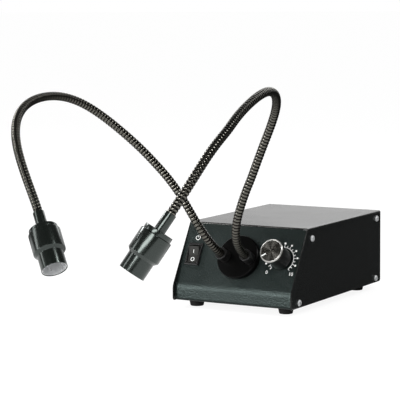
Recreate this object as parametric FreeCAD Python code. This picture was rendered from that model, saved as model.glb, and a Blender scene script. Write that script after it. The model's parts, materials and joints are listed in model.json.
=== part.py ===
"""Bench light source with two self-holding light guides.

The case stands on four rubber feet with its controls on the sloping front panel, which faces -Y.
Two ribbed metal necks leave the round port on the panel. Each carries a bundle of glass fibres from
the lamp inside the case to a focusing head. The origin is on the bench, under the middle of the
overall outline. The case keeps its own place in that frame through CASE_OFFSET.
"""
import FreeCAD, Part
import math
import os

V = FreeCAD.Vector

# Driving dimensions in millimetres and degrees

# Case and its sheet metal
CASE_OFFSET = V(15.4, 125.3, 0.0)
CASE_WIDTH = 120.0
CASE_DEPTH = 182.0
CASE_HEIGHT = 68.0
LIP_HEIGHT = 13.5
PANEL_SETBACK = 28.5
PANEL_BEND_RADIUS = 14.0
FLOOR_BEND_RADIUS = 2.5
COVER_EDGE_RADIUS = 1.8
CHASSIS_SHEET = 1.5
COVER_SHEET = 1.2
COVER_CLEARANCE = 0.1
COVER_REACH = 4.0
FLANGE_WIDTH = 14.0
FLOOR_FLANGE_HEIGHT = 12.0
SEAT_GAP = 0.05
PART_GAP = 0.3

# Side screws, as depth from the middle of the case and height above the bench
SIDE_SCREWS = [(-80.5, 11.0), (78.5, 10.5), (-55.0, 64.5), (80.0, 67.0)]
SCREW_RADIUS = 1.45
SCREW_HOLE_RADIUS = 1.7
SCREW_HEAD_RADIUS = 2.8
SCREW_HEAD_HEIGHT = 1.6
SCREW_CROSS_LENGTH = 3.4
SCREW_CROSS_WIDTH = 0.8
SIDE_SCREW_LENGTH = 6.0

# Feet
FOOT_HEIGHT = 6.0
FOOT_TOP_RADIUS = 7.2
FOOT_BOTTOM_RADIUS = 5.9
FOOT_X = 45.0
FOOT_FRONT_Y = -76.0
FOOT_REAR_Y = 68.0
FOOT_RECESS_RADIUS = 3.4
FOOT_RECESS_DEPTH = 3.0
FOOT_SCREW_LENGTH = 7.0

# Light port and neck sockets on the panel: x across it, s up its slope, h out of it
PORT_S = 29.5
PORT_RADIUS = 20.0
PORT_THICKNESS = 5.5
PORT_EDGE_CHAMFER = 0.8
PORT_BOSS_RADIUS = 17.4
PORT_BOSS_LENGTH = 11.5
PORT_NUT_RADIUS = 21.5
PORT_NUT_THICKNESS = 4.0
SOCKET_X = 12.2
SOCKET_DROP = 1.0
SOCKET_RADIUS = 5.5
SOCKET_HEIGHT = 9.0
SOCKET_SPIGOT_RADIUS = 4.35
SOCKET_BORE_DEPTH = 8.0

# Ribbed necks and the fibre bundles inside them
NECK_RADIUS = 3.75
RIB_DEPTH = 0.35
RIB_PITCH = 2.4
NECK_BORE_RADIUS = 2.9
NECK_INSERTION = 4.0
BUNDLE_RADIUS = 2.4
BUNDLE_STEP = 4.0
BUNDLE_HINGE_GAP = 2.0
SPAN_GAP = 0.3
ROOT_FLEX_LENGTH = 44.0
MIDDLE_FLEX_START = 150.0
MIDDLE_FLEX_LENGTH = 44.0
TIP_FLEX_LENGTH = 44.0
STEADY_SIDE = V(1.0, 0.0, 0.4)

# Necks' routes, as the control points of a smooth curve between the socket and the head
NECK_LEAD = 30.0
LEFT_ROUTE = [
    V(-35, -117, 106), V(-61, -122, 133), V(-74, -126, 147), V(-105, -143, 178), V(-119, -177, 195),
    V(-127, -225, 191), V(-109, -269, 162), V(-73, -285, 117), V(-65.6, -290, 106),
]
RIGHT_ROUTE = [
    V(31, -125, 110), V(36, -125, 118), V(50, -129, 149), V(73, -137, 190), V(89, -188, 206),
    V(91, -244, 186), V(93, -262, 175), V(91, -288, 161), V(86, -309, 137), V(75, -318.5, 116),
]

# Focusing heads, turned about their own axis, from the rear of the ferrule
FERRULE_RADIUS = 4.6
FERRULE_LENGTH = 15.5
FERRULE_HIDDEN_LENGTH = 6.5
COLLAR_RADIUS = 11.7
COLLAR_LENGTH = 4.0
COLLAR_SPIGOT_RADIUS = 10.6
COLLAR_SPIGOT_LENGTH = 4.5
BARREL_RADIUS = 13.05
BARREL_LENGTH = 17.8
BARREL_CHAMFER = 2.5
NOSE_RADIUS = 10.6
NOSE_LENGTH = 13.4
BARREL_BORE_RADIUS = 10.0
REFLECTOR_WALL = 0.5
REFLECTOR_SETBACK = 0.6
LENS_EDGE = 2.0
LENS_CROWN = 3.0

# Dimmer, its knob and the switch
KNOB_X = 41.3
KNOB_S = 31.3
KNOB_BODY_RADIUS = 9.6
KNOB_CAP_RADIUS = 10.75
KNOB_CAP_THICKNESS = 2.8
KNOB_HEIGHT = 23.0
KNOB_LIFT = 1.5
KNOB_RECESS_RADIUS = 8.0
KNOB_RECESS_DEPTH = 3.0
SHAFT_RADIUS = 3.0
POT_RADIUS = 8.5
POT_LENGTH = 9.0
BUSHING_RADIUS = 3.9
BUSHING_LENGTH = 3.0
POT_NUT_ACROSS_FLATS = 11.0
POT_NUT_THICKNESS = 2.0
SWITCH_X = -47.0
SWITCH_S = 30.1
BEZEL_WIDTH = 14.0
BEZEL_LENGTH = 21.0
BEZEL_HEIGHT = 2.0
SWITCH_BODY_WIDTH = 12.6
SWITCH_BODY_LENGTH = 18.8
SWITCH_BODY_DEPTH = 15.0
PADDLE_WIDTH = 10.0
PADDLE_RADIUS = 8.0
PADDLE_PIVOT_DEPTH = 1.0
PADDLE_MIDDLE_HEIGHT = 2.2
PADDLE_END_HEIGHT = 3.6
PADDLE_FLOOR = 3.0
PADDLE_REST_TILT = 11.0
TRUNNION_RADIUS = 1.2
TRUNNION_LENGTH = 0.7

# Lamp: heat sink, light-emitting board, condenser and the necks' common end
OPTICAL_HEIGHT = 33.5
SINK_FRONT_Y = -6.0
SINK_WIDTH = 52.0
SINK_HEIGHT = 52.0
SINK_BASE = 6.0
SINK_FIN_LENGTH = 24.0
SINK_FIN_THICKNESS = 1.6
SINK_FIN_COUNT = 9
LED_BOARD_SIZE = 20.0
LED_BOARD_THICKNESS = 1.6
EMITTER_RADIUS = 5.0
EMITTER_HEIGHT = 0.8
HOLDER_FLANGE_RADIUS = 17.0
HOLDER_FLANGE_THICKNESS = 3.0
HOLDER_RADIUS = 13.5
HOLDER_WALL = 2.0
HOLDER_LENGTH = 22.0
HOLDER_FRONT_WALL = 4.0
CONDENSER_SEAT = 9.0
CONDENSER_EDGE = 2.0
CONDENSER_CROWN = 3.5
COMMON_END_RADIUS = 8.0
COMMON_END_LENGTH = 14.0
COMMON_BORE_X = 2.7

# Fan, inlet and fuse on the rear panel
FAN_SIZE = 50.0
FAN_DEPTH = 15.0
FAN_X = -27.0
FAN_Z = 37.0
FAN_BORE_RADIUS = 23.5
FAN_CORNER_RADIUS = 3.5
FAN_SCREW_SPACING = 40.0
FAN_HUB_RADIUS = 10.0
FAN_BASE_THICKNESS = 2.5
FAN_STRUT_WIDTH = 3.0
FAN_PIN_RADIUS = 1.5
FAN_PIN_LENGTH = 8.0
FAN_BLADE_COUNT = 7
FAN_BLADE_THICKNESS = 1.2
FAN_BLADE_CHORD = 11.0
FAN_BLADE_PITCH = 38.0
FAN_TIP_GAP = 0.7
GRILLE_RADIUS = 21.0
GRILLE_SLOT = 3.6
GRILLE_PITCH = 6.0
INLET_X = 31.0
INLET_Z = 34.0
INLET_BODY_WIDTH = 28.0
INLET_BODY_HEIGHT = 20.0
INLET_BODY_DEPTH = 22.0
INLET_FLANGE_WIDTH = 50.0
INLET_FLANGE_HEIGHT = 24.0
INLET_FLANGE_THICKNESS = 2.5
INLET_SCREW_SPACING = 40.0
INLET_MOUTH_WIDTH = 24.4
INLET_MOUTH_HEIGHT = 16.4
INLET_MOUTH_DEPTH = 16.0
PIN_WIDTH = 2.0
PIN_HEIGHT = 4.0
PIN_SPACING = 14.0
PIN_OFFSET = 2.0
PIN_SETBACK = 2.0
PIN_TAIL = 6.0
FUSE_X = 31.0
FUSE_Z = 60.0
FUSE_RADIUS = 6.2
FUSE_LENGTH = 24.0
FUSE_FLANGE_RADIUS = 7.8
FUSE_FLANGE_THICKNESS = 1.5
FUSE_CAP_RADIUS = 6.8
FUSE_CAP_HEIGHT = 5.0
FUSE_BORE_RADIUS = 3.6
FUSE_STEM_RADIUS = 3.3
FUSE_STEM_LENGTH = 20.0
REAR_SCREW_LENGTH = 8.0

# Driver board
BOARD_WIDTH = 100.0
BOARD_DEPTH = 28.0
BOARD_FRONT_Y = 34.0
BOARD_THICKNESS = 1.6
BOARD_LIFT = 6.0
STANDOFF_RADIUS = 3.0
STANDOFF_PIN_RADIUS = 1.45
STANDOFF_INSET = 4.5
TRANSFORMER_SIZE = V(24.0, 20.0, 18.0)
TRANSFORMER_INSET = 26.0
# Each capacitor's inset from the board's other end, its radius and its height
CAPACITORS = [(42.0, 6.3, 18.0), (26.0, 5.0, 14.0)]
WIRE_RADIUS = 1.3
WIRE_STEPS = 16

# Bottom vents
VENT_COUNT = 6
VENT_PITCH = 6.0
VENT_WIDTH = 3.0
VENT_LENGTH = 22.0
VENT_X = 41.0
VENT_Y = -2.0

# Sizes worked out from the driving dimensions

CASE_BOTTOM = FOOT_HEIGHT
CASE_TOP = FOOT_HEIGHT + CASE_HEIGHT
FRONT_Y = -CASE_DEPTH / 2
REAR_Y = CASE_DEPTH / 2
FLOOR_TOP = CASE_BOTTOM + CHASSIS_SHEET
PANEL_ANGLE = math.atan2(PANEL_SETBACK, CASE_HEIGHT - LIP_HEIGHT)
PANEL_UP = V(0, math.sin(PANEL_ANGLE), math.cos(PANEL_ANGLE))
PANEL_OUT = V(0, -math.cos(PANEL_ANGLE), math.sin(PANEL_ANGLE))
PANEL_FOOT = V(0, FRONT_Y, CASE_BOTTOM + LIP_HEIGHT)
CHASSIS_HALF_WIDTH = CASE_WIDTH / 2 - COVER_SHEET - COVER_CLEARANCE
CHASSIS_TOP = CASE_TOP - COVER_SHEET - COVER_CLEARANCE
RIB_VALLEY_RADIUS = NECK_RADIUS - RIB_DEPTH
HOLDER_REAR_Y = SINK_FRONT_Y
HOLDER_FRONT_Y = SINK_FRONT_Y - HOLDER_LENGTH
COMMON_END_REAR_Y = HOLDER_FRONT_Y + HOLDER_FRONT_WALL
BARREL_START = FERRULE_LENGTH + COLLAR_LENGTH
SPIGOT_END = BARREL_START + COLLAR_SPIGOT_LENGTH
SHOULDER_END = BARREL_START + BARREL_LENGTH + BARREL_CHAMFER
HEAD_LENGTH = SHOULDER_END + NOSE_LENGTH


# Shapes that several pieces share

def cylinder(radius, low, high, x=0.0, y=0.0):
    """Return a cylinder along the local Z axis between two heights."""
    return Part.makeCylinder(radius, high - low, V(x, y, low))


def ring(outer, inner, low, high, x=0.0, y=0.0):
    """Return a tube along the local Z axis between two heights."""
    return cylinder(outer, low, high, x, y).cut(cylinder(inner, low, high, x, y))


def block(width, depth, low, high, x=0.0, y=0.0):
    """Return a box centred on x and y between two heights."""
    return Part.makeBox(width, depth, high - low, V(x - width / 2, y - depth / 2, low))


def prism(points, low, high):
    """Return a straight prism along Z over an outline of (x, y) points."""
    corners = [V(x, y, low) for x, y in points]
    return Part.Face(Part.makePolygon(corners + corners[:1])).extrude(V(0, 0, high - low))


def turned(points):
    """Return the solid turned about Z from an outline of (radius, height) points."""
    corners = [V(radius, 0, height) for radius, height in points]
    outline = Part.Face(Part.makePolygon(corners + corners[:1]))
    return outline.revolve(V(0, 0, 0), V(0, 0, 1), 360)


def hexagon(across_flats, low, high):
    """Return a hexagonal prism along Z."""
    radius = across_flats / math.sqrt(3)
    corners = [math.radians(60 * k) for k in range(6)]
    return prism([(radius * math.cos(a), radius * math.sin(a)) for a in corners], low, high)


def moved(shape, placement):
    """Return the shape carried from its local frame by a placement."""
    copy = shape.copy()
    copy.Placement = placement.multiply(copy.Placement)
    return copy


def frame_at(point, x_axis, z_axis):
    """Return the placement whose local Z runs along z_axis, with its X axis near x_axis."""
    side = x_axis - z_axis * x_axis.dot(z_axis)
    side.normalize()
    return FreeCAD.Placement(point, FreeCAD.Rotation(side, z_axis.cross(side), z_axis, "ZXY"))


def panel_frame(x, s, h=0.0):
    """Return the placement of a piece on the panel, with local Z pointing out of it."""
    point = PANEL_FOOT + V(x, 0, 0) + PANEL_UP * s + PANEL_OUT * h
    return frame_at(point, V(1, 0, 0), PANEL_OUT)


def rear_frame(x, z):
    """Return the placement of a piece on the rear panel, with local Z pointing out of it."""
    return frame_at(V(x, REAR_Y, z), V(-1, 0, 0), V(0, 1, 0))


def bench_screw(length):
    """Return a pan-head screw whose head seats on Z = 0 and whose shank runs down."""
    head = cylinder(SCREW_HEAD_RADIUS, 0, SCREW_HEAD_HEIGHT)
    head = head.makeFillet(SCREW_HEAD_HEIGHT * 0.5, [head.Edges[0]])
    depth = SCREW_HEAD_HEIGHT * 0.5
    long_way = block(SCREW_CROSS_LENGTH, SCREW_CROSS_WIDTH, depth, SCREW_HEAD_HEIGHT + 1)
    cross_way = block(SCREW_CROSS_WIDTH, SCREW_CROSS_LENGTH, depth, SCREW_HEAD_HEIGHT + 1)
    recessed = head.cut(long_way.fuse(cross_way))
    return recessed.fuse(cylinder(SCREW_RADIUS, -length, 0)).removeSplitter()


# Sheet metal

def bent_edges(points, radii):
    """Return the lines and arcs of an open (y, z) path whose corners have the given radii."""
    edges = []
    here = V(0, *points[0])
    for k in range(1, len(points) - 1):
        corner = V(0, *points[k])
        arriving = corner - V(0, *points[k - 1])
        leaving = V(0, *points[k + 1]) - corner
        arriving.normalize()
        leaving.normalize()
        half_turn = math.acos(max(-1.0, min(1.0, arriving.dot(leaving)))) / 2
        reach = radii[k - 1] * math.tan(half_turn)
        start = corner - arriving * reach
        end = corner + leaving * reach
        inward = leaving - arriving
        inward.normalize()
        middle = corner + inward * (radii[k - 1] / math.cos(half_turn) - radii[k - 1])
        edges.append(Part.LineSegment(here, start).toShape())
        edges.append(Part.Arc(start, middle, end).toShape())
        here = end
    edges.append(Part.LineSegment(here, V(0, *points[-1])).toShape())
    return edges


def inset_path(points, distance):
    """Return an open (y, z) path moved to its left by a distance."""
    lines = []
    for (y0, z0), (y1, z1) in zip(points[:-1], points[1:]):
        length = math.hypot(y1 - y0, z1 - z0)
        side = (-(z1 - z0) / length * distance, (y1 - y0) / length * distance)
        lines.append(((y0 + side[0], z0 + side[1]), (y1 + side[0], z1 + side[1])))
    path = [lines[0][0]]
    for ((ay, az), (by, bz)), ((cy, cz), (dy, dz)) in zip(lines[:-1], lines[1:]):
        across = (by - ay) * (dz - cz) - (bz - az) * (dy - cy)
        share = ((cy - ay) * (dz - cz) - (cz - az) * (dy - cy)) / across
        path.append((ay + share * (by - ay), az + share * (bz - az)))
    return path + [lines[-1][1]]


def folded_sheet(points, radii, thickness, half_width):
    """Return a sheet folded along an open (y, z) path, with its thickness to the path's left."""
    outer = bent_edges(points, radii)
    inner_points = inset_path(points, thickness)
    inner = bent_edges(inner_points, [radius - thickness for radius in radii])
    ends = [
        Part.LineSegment(V(0, *points[0]), V(0, *inner_points[0])).toShape(),
        Part.LineSegment(V(0, *points[-1]), V(0, *inner_points[-1])).toShape(),
    ]
    outline = Part.Face(Part.Wire(Part.__sortEdges__(outer + inner + ends)))
    outline.translate(V(-half_width, 0, 0))
    return outline.extrude(V(2 * half_width, 0, 0))


def side_profile():
    """Return the cover's side outline, which stands out in front of the lip, on the plane x = 0."""
    front_y = FRONT_Y - COVER_REACH
    path = [
        (REAR_Y, CASE_TOP), (FRONT_Y + PANEL_SETBACK, CASE_TOP), (front_y, CASE_BOTTOM + LIP_HEIGHT),
        (front_y, CASE_BOTTOM), (REAR_Y, CASE_BOTTOM), (REAR_Y, CASE_TOP),
    ]
    edges = bent_edges(path, [0.5, PANEL_BEND_RADIUS, FLOOR_BEND_RADIUS, FLOOR_BEND_RADIUS])
    return Part.Face(Part.Wire(Part.__sortEdges__(edges)))


def side_screw_frames():
    """Return the placement of each side screw, with local Z pointing away from the case."""
    frames = []
    for side in (-1, 1):
        for y, z in SIDE_SCREWS:
            frames.append(frame_at(V(side * CASE_WIDTH / 2, y, z), V(0, 1, 0), V(side, 0, 0)))
    return frames


def foot_places():
    """Return the centre of each foot on the bench."""
    return [V(x, y, 0) for x in (-FOOT_X, FOOT_X) for y in (FOOT_FRONT_Y, FOOT_REAR_Y)]


def sink_screw_places():
    """Return where the heat sink's two screws cross the case floor."""
    y = SINK_FRONT_Y + SINK_BASE / 2
    return [V(x, y, CASE_BOTTOM) for x in (-SINK_WIDTH / 3, SINK_WIDTH / 3)]


def standoff_places():
    """Return where the driver board's four posts stand on the case floor."""
    half_width = BOARD_WIDTH / 2 - STANDOFF_INSET
    low_y = BOARD_FRONT_Y + STANDOFF_INSET
    high_y = BOARD_FRONT_Y + BOARD_DEPTH - STANDOFF_INSET
    return [V(x, y, FLOOR_TOP) for x in (-half_width, half_width) for y in (low_y, high_y)]


def fan_screw_places():
    """Return the fan's four screw places, in its own frame."""
    half = FAN_SCREW_SPACING / 2
    return [(x, y) for x in (-half, half) for y in (-half, half)]


def grille_slots():
    """Return the slots that vent the fan, in the fan's own frame."""
    slots = []
    count = int(GRILLE_RADIUS // GRILLE_PITCH)
    for k in range(-count, count + 1):
        length = 2 * math.sqrt(GRILLE_RADIUS ** 2 - (k * GRILLE_PITCH) ** 2)
        slots.append(block(length, GRILLE_SLOT, -2 * CHASSIS_SHEET, CHASSIS_SHEET, 0, k * GRILLE_PITCH))
    return slots


def chassis_flanges():
    """Return the upright flanges that the cover's screws bite into, on both sides."""
    flanges = []
    for side in (-1, 1):
        x = side * (CHASSIS_HALF_WIDTH - CHASSIS_SHEET / 2)
        length = CASE_DEPTH - 2 * FLOOR_BEND_RADIUS - 2 * CHASSIS_SHEET
        low = CASE_BOTTOM + CHASSIS_SHEET / 2
        flanges.append(block(CHASSIS_SHEET, length, low, CASE_BOTTOM + FLOOR_FLANGE_HEIGHT, x, 0))
        rear = block(CHASSIS_SHEET, FLANGE_WIDTH, CASE_BOTTOM + 2 * FLOOR_FLANGE_HEIGHT, CHASSIS_TOP - 1)
        rear.translate(V(x, REAR_Y - CHASSIS_SHEET / 2 - FLANGE_WIDTH / 2, 0))
        flanges.append(rear)
        low_s = PANEL_BEND_RADIUS
        high_s = math.hypot(PANEL_SETBACK, CASE_HEIGHT - LIP_HEIGHT) - 2 * CHASSIS_SHEET - 1
        panel = block(CHASSIS_SHEET, high_s - low_s, -FLANGE_WIDTH - 1, -CHASSIS_SHEET / 2, 0)
        panel.translate(V(0, (low_s + high_s) / 2, 0))
        flanges.append(moved(panel, panel_frame(x, 0)))
    return flanges


def chassis_cuts():
    """Return everything that is punched out of the chassis."""
    deep = 4 * CHASSIS_SHEET
    cuts = [moved(cylinder(PORT_BOSS_RADIUS + SEAT_GAP, -deep, deep), panel_frame(0, PORT_S))]
    switch = block(SWITCH_BODY_WIDTH + 2 * SEAT_GAP, SWITCH_BODY_LENGTH + 2 * SEAT_GAP, -deep, deep)
    cuts.append(moved(switch, panel_frame(SWITCH_X, SWITCH_S)))
    cuts.append(moved(cylinder(BUSHING_RADIUS + SEAT_GAP, -deep, deep), panel_frame(KNOB_X, KNOB_S)))
    cuts += [moved(slot, rear_frame(FAN_X, FAN_Z)) for slot in grille_slots()]
    for x, y in fan_screw_places():
        cuts.append(moved(cylinder(SCREW_HOLE_RADIUS, -deep, deep, x, y), rear_frame(FAN_X, FAN_Z)))
    inlet = block(INLET_BODY_WIDTH + 2 * SEAT_GAP, INLET_BODY_HEIGHT + 2 * SEAT_GAP, -deep, deep)
    cuts.append(moved(inlet, rear_frame(INLET_X, INLET_Z)))
    for x in (-INLET_SCREW_SPACING / 2, INLET_SCREW_SPACING / 2):
        hole = cylinder(SCREW_RADIUS + SEAT_GAP, -deep, deep, x)
        cuts.append(moved(hole, rear_frame(INLET_X, INLET_Z)))
    cuts.append(moved(cylinder(FUSE_RADIUS + SEAT_GAP, -deep, deep), rear_frame(FUSE_X, FUSE_Z)))
    holes = [(place, SCREW_RADIUS + SEAT_GAP) for place in foot_places()]
    holes += [(place, SCREW_HOLE_RADIUS) for place in sink_screw_places()]
    holes += [(place, STANDOFF_PIN_RADIUS + SEAT_GAP) for place in standoff_places()]
    cuts += [cylinder(radius, CASE_BOTTOM - 1, FLOOR_TOP + 1, place.x, place.y) for place, radius in holes]
    for side in (-1, 1):
        for k in range(VENT_COUNT):
            y = VENT_Y + (k - (VENT_COUNT - 1) / 2) * VENT_PITCH
            slot = block(VENT_LENGTH, VENT_WIDTH, CASE_BOTTOM - 1, FLOOR_TOP + 1, side * VENT_X, y)
            cuts.append(slot)
    cuts += [moved(cylinder(SCREW_RADIUS + SEAT_GAP, -SIDE_SCREW_LENGTH, 1), f) for f in side_screw_frames()]
    return cuts


def make_base_chassis():
    """Return the folded chassis: sloping panel, lip, floor and rear panel."""
    slope = PANEL_SETBACK / (CASE_HEIGHT - LIP_HEIGHT)
    rise = CHASSIS_TOP - CASE_BOTTOM - LIP_HEIGHT
    path = [
        (FRONT_Y + rise * slope, CHASSIS_TOP), (FRONT_Y, CASE_BOTTOM + LIP_HEIGHT),
        (FRONT_Y, CASE_BOTTOM), (REAR_Y, CASE_BOTTOM), (REAR_Y, CHASSIS_TOP),
    ]
    radii = [PANEL_BEND_RADIUS, FLOOR_BEND_RADIUS, FLOOR_BEND_RADIUS]
    sheet = folded_sheet(path, radii, CHASSIS_SHEET, CHASSIS_HALF_WIDTH)
    return sheet.fuse(chassis_flanges()).removeSplitter().cut(chassis_cuts())


def make_top_cover():
    """Return the U-shaped cover, whose front edges follow the panel."""
    half = CASE_WIDTH / 2
    profile = side_profile()
    profile.translate(V(-half, 0, 0))
    shell = profile.extrude(V(CASE_WIDTH, 0, 0))
    long_edges = []
    for edge in shell.Edges:
        ends = edge.Vertexes
        level = all(abs(v.Z - CASE_TOP) < 0.01 and abs(abs(v.X) - half) < 0.01 for v in ends)
        if level and edge.Length > CASE_DEPTH / 2:
            long_edges.append(edge)
    shell = shell.makeFillet(COVER_EDGE_RADIUS, long_edges)
    inner_half = half - COVER_SHEET
    inner = block(2 * inner_half, 2 * CASE_DEPTH, CASE_BOTTOM - 1, CASE_TOP - COVER_SHEET)
    cover = shell.cut(inner)
    holes = [moved(cylinder(SCREW_HOLE_RADIUS, -2 * COVER_SHEET, 1), f) for f in side_screw_frames()]
    return cover.cut(holes)


def make_cover_screws():
    """Return the eight screws that hold the cover."""
    return Part.makeCompound([moved(bench_screw(SIDE_SCREW_LENGTH), f) for f in side_screw_frames()])


def make_rubber_feet():
    """Return four tapered feet with a recess for their screws."""
    foot = turned([
        (SCREW_RADIUS + SEAT_GAP, FOOT_HEIGHT), (FOOT_TOP_RADIUS, FOOT_HEIGHT), (FOOT_BOTTOM_RADIUS, 0),
        (FOOT_RECESS_RADIUS, 0), (FOOT_RECESS_RADIUS, FOOT_RECESS_DEPTH),
        (SCREW_RADIUS + SEAT_GAP, FOOT_RECESS_DEPTH),
    ])
    feet = []
    for place in foot_places():
        copy = foot.copy()
        copy.translate(place)
        feet.append(copy)
    return Part.makeCompound(feet)


def make_floor_screws():
    """Return the screws that come up through the feet and into the heat sink."""
    screws = []
    for place in foot_places():
        frame = frame_at(place + V(0, 0, FOOT_RECESS_DEPTH), V(1, 0, 0), V(0, 0, -1))
        screws.append(moved(bench_screw(FOOT_SCREW_LENGTH), frame))
    for place in sink_screw_places():
        screws.append(moved(bench_screw(FOOT_SCREW_LENGTH), frame_at(place, V(1, 0, 0), V(0, 0, -1))))
    return Part.makeCompound(screws)


# Light port

def make_light_port():
    """Return the round port with its two socket bores and the boss behind the panel."""
    body = turned([
        (0, PORT_THICKNESS), (PORT_RADIUS - PORT_EDGE_CHAMFER, PORT_THICKNESS),
        (PORT_RADIUS, PORT_THICKNESS - PORT_EDGE_CHAMFER), (PORT_RADIUS, 0), (PORT_BOSS_RADIUS, 0),
        (PORT_BOSS_RADIUS, -PORT_BOSS_LENGTH), (0, -PORT_BOSS_LENGTH),
    ])
    bore = SOCKET_SPIGOT_RADIUS + SEAT_GAP
    bores = [
        cylinder(bore, -PORT_BOSS_LENGTH, PORT_THICKNESS, x, -SOCKET_DROP) for x in (-SOCKET_X, SOCKET_X)
    ]
    return moved(body.cut(bores), panel_frame(0, PORT_S))


def make_port_nut():
    """Return the ring nut that clamps the port to the panel."""
    low = -CHASSIS_SHEET - PORT_NUT_THICKNESS
    nut = ring(PORT_NUT_RADIUS, PORT_BOSS_RADIUS + SEAT_GAP, low, -CHASSIS_SHEET)
    return moved(nut, panel_frame(0, PORT_S))


def make_neck_sockets():
    """Return the two sleeves that hold the necks' roots in the port."""
    top = PORT_THICKNESS + SOCKET_HEIGHT
    step = top - SOCKET_BORE_DEPTH
    sleeve = turned([
        (NECK_RADIUS + 2 * SEAT_GAP, top), (SOCKET_RADIUS, top), (SOCKET_RADIUS, PORT_THICKNESS),
        (SOCKET_SPIGOT_RADIUS, PORT_THICKNESS), (SOCKET_SPIGOT_RADIUS, -PORT_BOSS_LENGTH),
        (NECK_BORE_RADIUS, -PORT_BOSS_LENGTH), (NECK_BORE_RADIUS, step), (NECK_RADIUS + 2 * SEAT_GAP, step),
    ])
    frames = [panel_frame(x, PORT_S - SOCKET_DROP) for x in (-SOCKET_X, SOCKET_X)]
    return Part.makeCompound([moved(sleeve, f) for f in frames])


# Necks

class NeckPath:
    """The centre line of one neck, measured along its length from the socket's mouth."""

    def __init__(self, side, route):
        mouth = panel_frame(side * SOCKET_X, PORT_S - SOCKET_DROP, PORT_THICKNESS + SOCKET_HEIGHT)
        poles = [mouth.Base, mouth.Base + PANEL_OUT * NECK_LEAD] + route
        spans = len(poles) - 3
        counts = [4] + [1] * (spans - 1) + [4]
        self.curve = Part.BSplineCurve()
        self.curve.buildFromPolesMultsKnots(poles, counts, list(range(spans + 1)), False, 3)
        self.length = self.curve.length()

    def station(self, distance):
        """Return the point and direction at a distance, straight on beyond both ends."""
        inside = min(max(distance, 0.0), self.length)
        at = self.curve.parameterAtDistance(inside, self.curve.FirstParameter)
        direction = V(*self.curve.tangent(at)[0])
        return self.curve.value(at) + direction * (distance - inside), direction

    def frame(self, distance):
        """Return the placement on the path with local Z along it and a steady X axis."""
        point, direction = self.station(distance)
        return frame_at(point, STEADY_SIDE, direction)


def circle_at(frame, radius):
    """Return a circular wire across a placement's Z axis."""
    return Part.Wire([moved(Part.makeCircle(radius), frame)])


def conduit_span(path, start, end):
    """Return one ribbed length of neck with its bore."""
    count = max(1, round((end - start) / RIB_PITCH))
    pitch = (end - start) / count
    wires = []
    for k in range(count):
        for share, radius in ((0.0, RIB_VALLEY_RADIUS), (0.2, NECK_RADIUS), (0.65, NECK_RADIUS),
                              (0.85, RIB_VALLEY_RADIUS)):
            wires.append(circle_at(path.frame(start + (k + share) * pitch), radius))
    wires.append(circle_at(path.frame(end), RIB_VALLEY_RADIUS))
    bore = rod_along(path, start - 1, end + 1, NECK_BORE_RADIUS, RIB_PITCH)
    return Part.makeLoft(wires, True, True).cut(bore)


def rod_along(path, start, end, radius, step):
    """Return a plain rod along a path."""
    count = max(1, math.ceil((end - start) / step))
    frames = [path.frame(start + (end - start) * k / count) for k in range(count + 1)]
    return Part.makeLoft([circle_at(f, radius) for f in frames], True, True)


def bezier_frames(start, start_pull, end_pull, end, count):
    """Return placements along a cubic curve given by its ends and their pull points."""
    frames = []
    for k in range(count + 1):
        t = k / count
        u = 1 - t
        point = start * u ** 3 + start_pull * (3 * u * u * t) + end_pull * (3 * u * t * t) + end * t ** 3
        along = (start_pull - start) * (u * u) + (end_pull - start_pull) * (2 * u * t)
        along = along + (end - end_pull) * (t * t)
        along.normalize()
        frames.append(frame_at(point, STEADY_SIDE, along))
    return frames


def neck_marks(path):
    """Return where each flexing length of a neck starts and ends."""
    return {
        "root": (0.0, ROOT_FLEX_LENGTH),
        "middle": (MIDDLE_FLEX_START, MIDDLE_FLEX_START + MIDDLE_FLEX_LENGTH),
        "tip": (path.length - TIP_FLEX_LENGTH, path.length),
    }


def neck_conduits(side_name, path):
    """Return the five lengths of one neck, each under its name."""
    marks = neck_marks(path)
    gap = SPAN_GAP / 2
    return {
        side_name + "_neck_root_flex": conduit_span(path, -NECK_INSERTION, marks["root"][1] - gap),
        side_name + "_neck_lower_arm": conduit_span(path, marks["root"][1] + gap, marks["middle"][0] - gap),
        side_name + "_neck_middle_flex": conduit_span(path, marks["middle"][0] + gap, marks["middle"][1] - gap),
        side_name + "_neck_upper_arm": conduit_span(path, marks["middle"][1] + gap, marks["tip"][0] - gap),
        side_name + "_neck_tip_flex": conduit_span(path, marks["tip"][0] + gap, path.length + NECK_INSERTION),
    }


def root_bundle(side, path, end):
    """Return the bundle from the lamp, through the port and into the neck."""
    lamp_end = V(side * COMMON_BORE_X, COMMON_END_REAR_Y, OPTICAL_HEIGHT)
    lamp_start = lamp_end - V(0, COMMON_END_LENGTH, 0)
    port = panel_frame(side * SOCKET_X, PORT_S - SOCKET_DROP, -PORT_BOSS_LENGTH).Base
    pull = (port - lamp_start).Length * 0.4
    bend = bezier_frames(lamp_start, lamp_start - V(0, pull, 0), port - PANEL_OUT * pull, port, 10)
    frames = [frame_at(lamp_end, STEADY_SIDE, V(0, -1, 0))] + bend
    count = math.ceil(end / BUNDLE_STEP)
    frames += [path.frame(end * k / count) for k in range(count + 1)]
    return Part.makeLoft([circle_at(f, BUNDLE_RADIUS) for f in frames], True, True)


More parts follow.
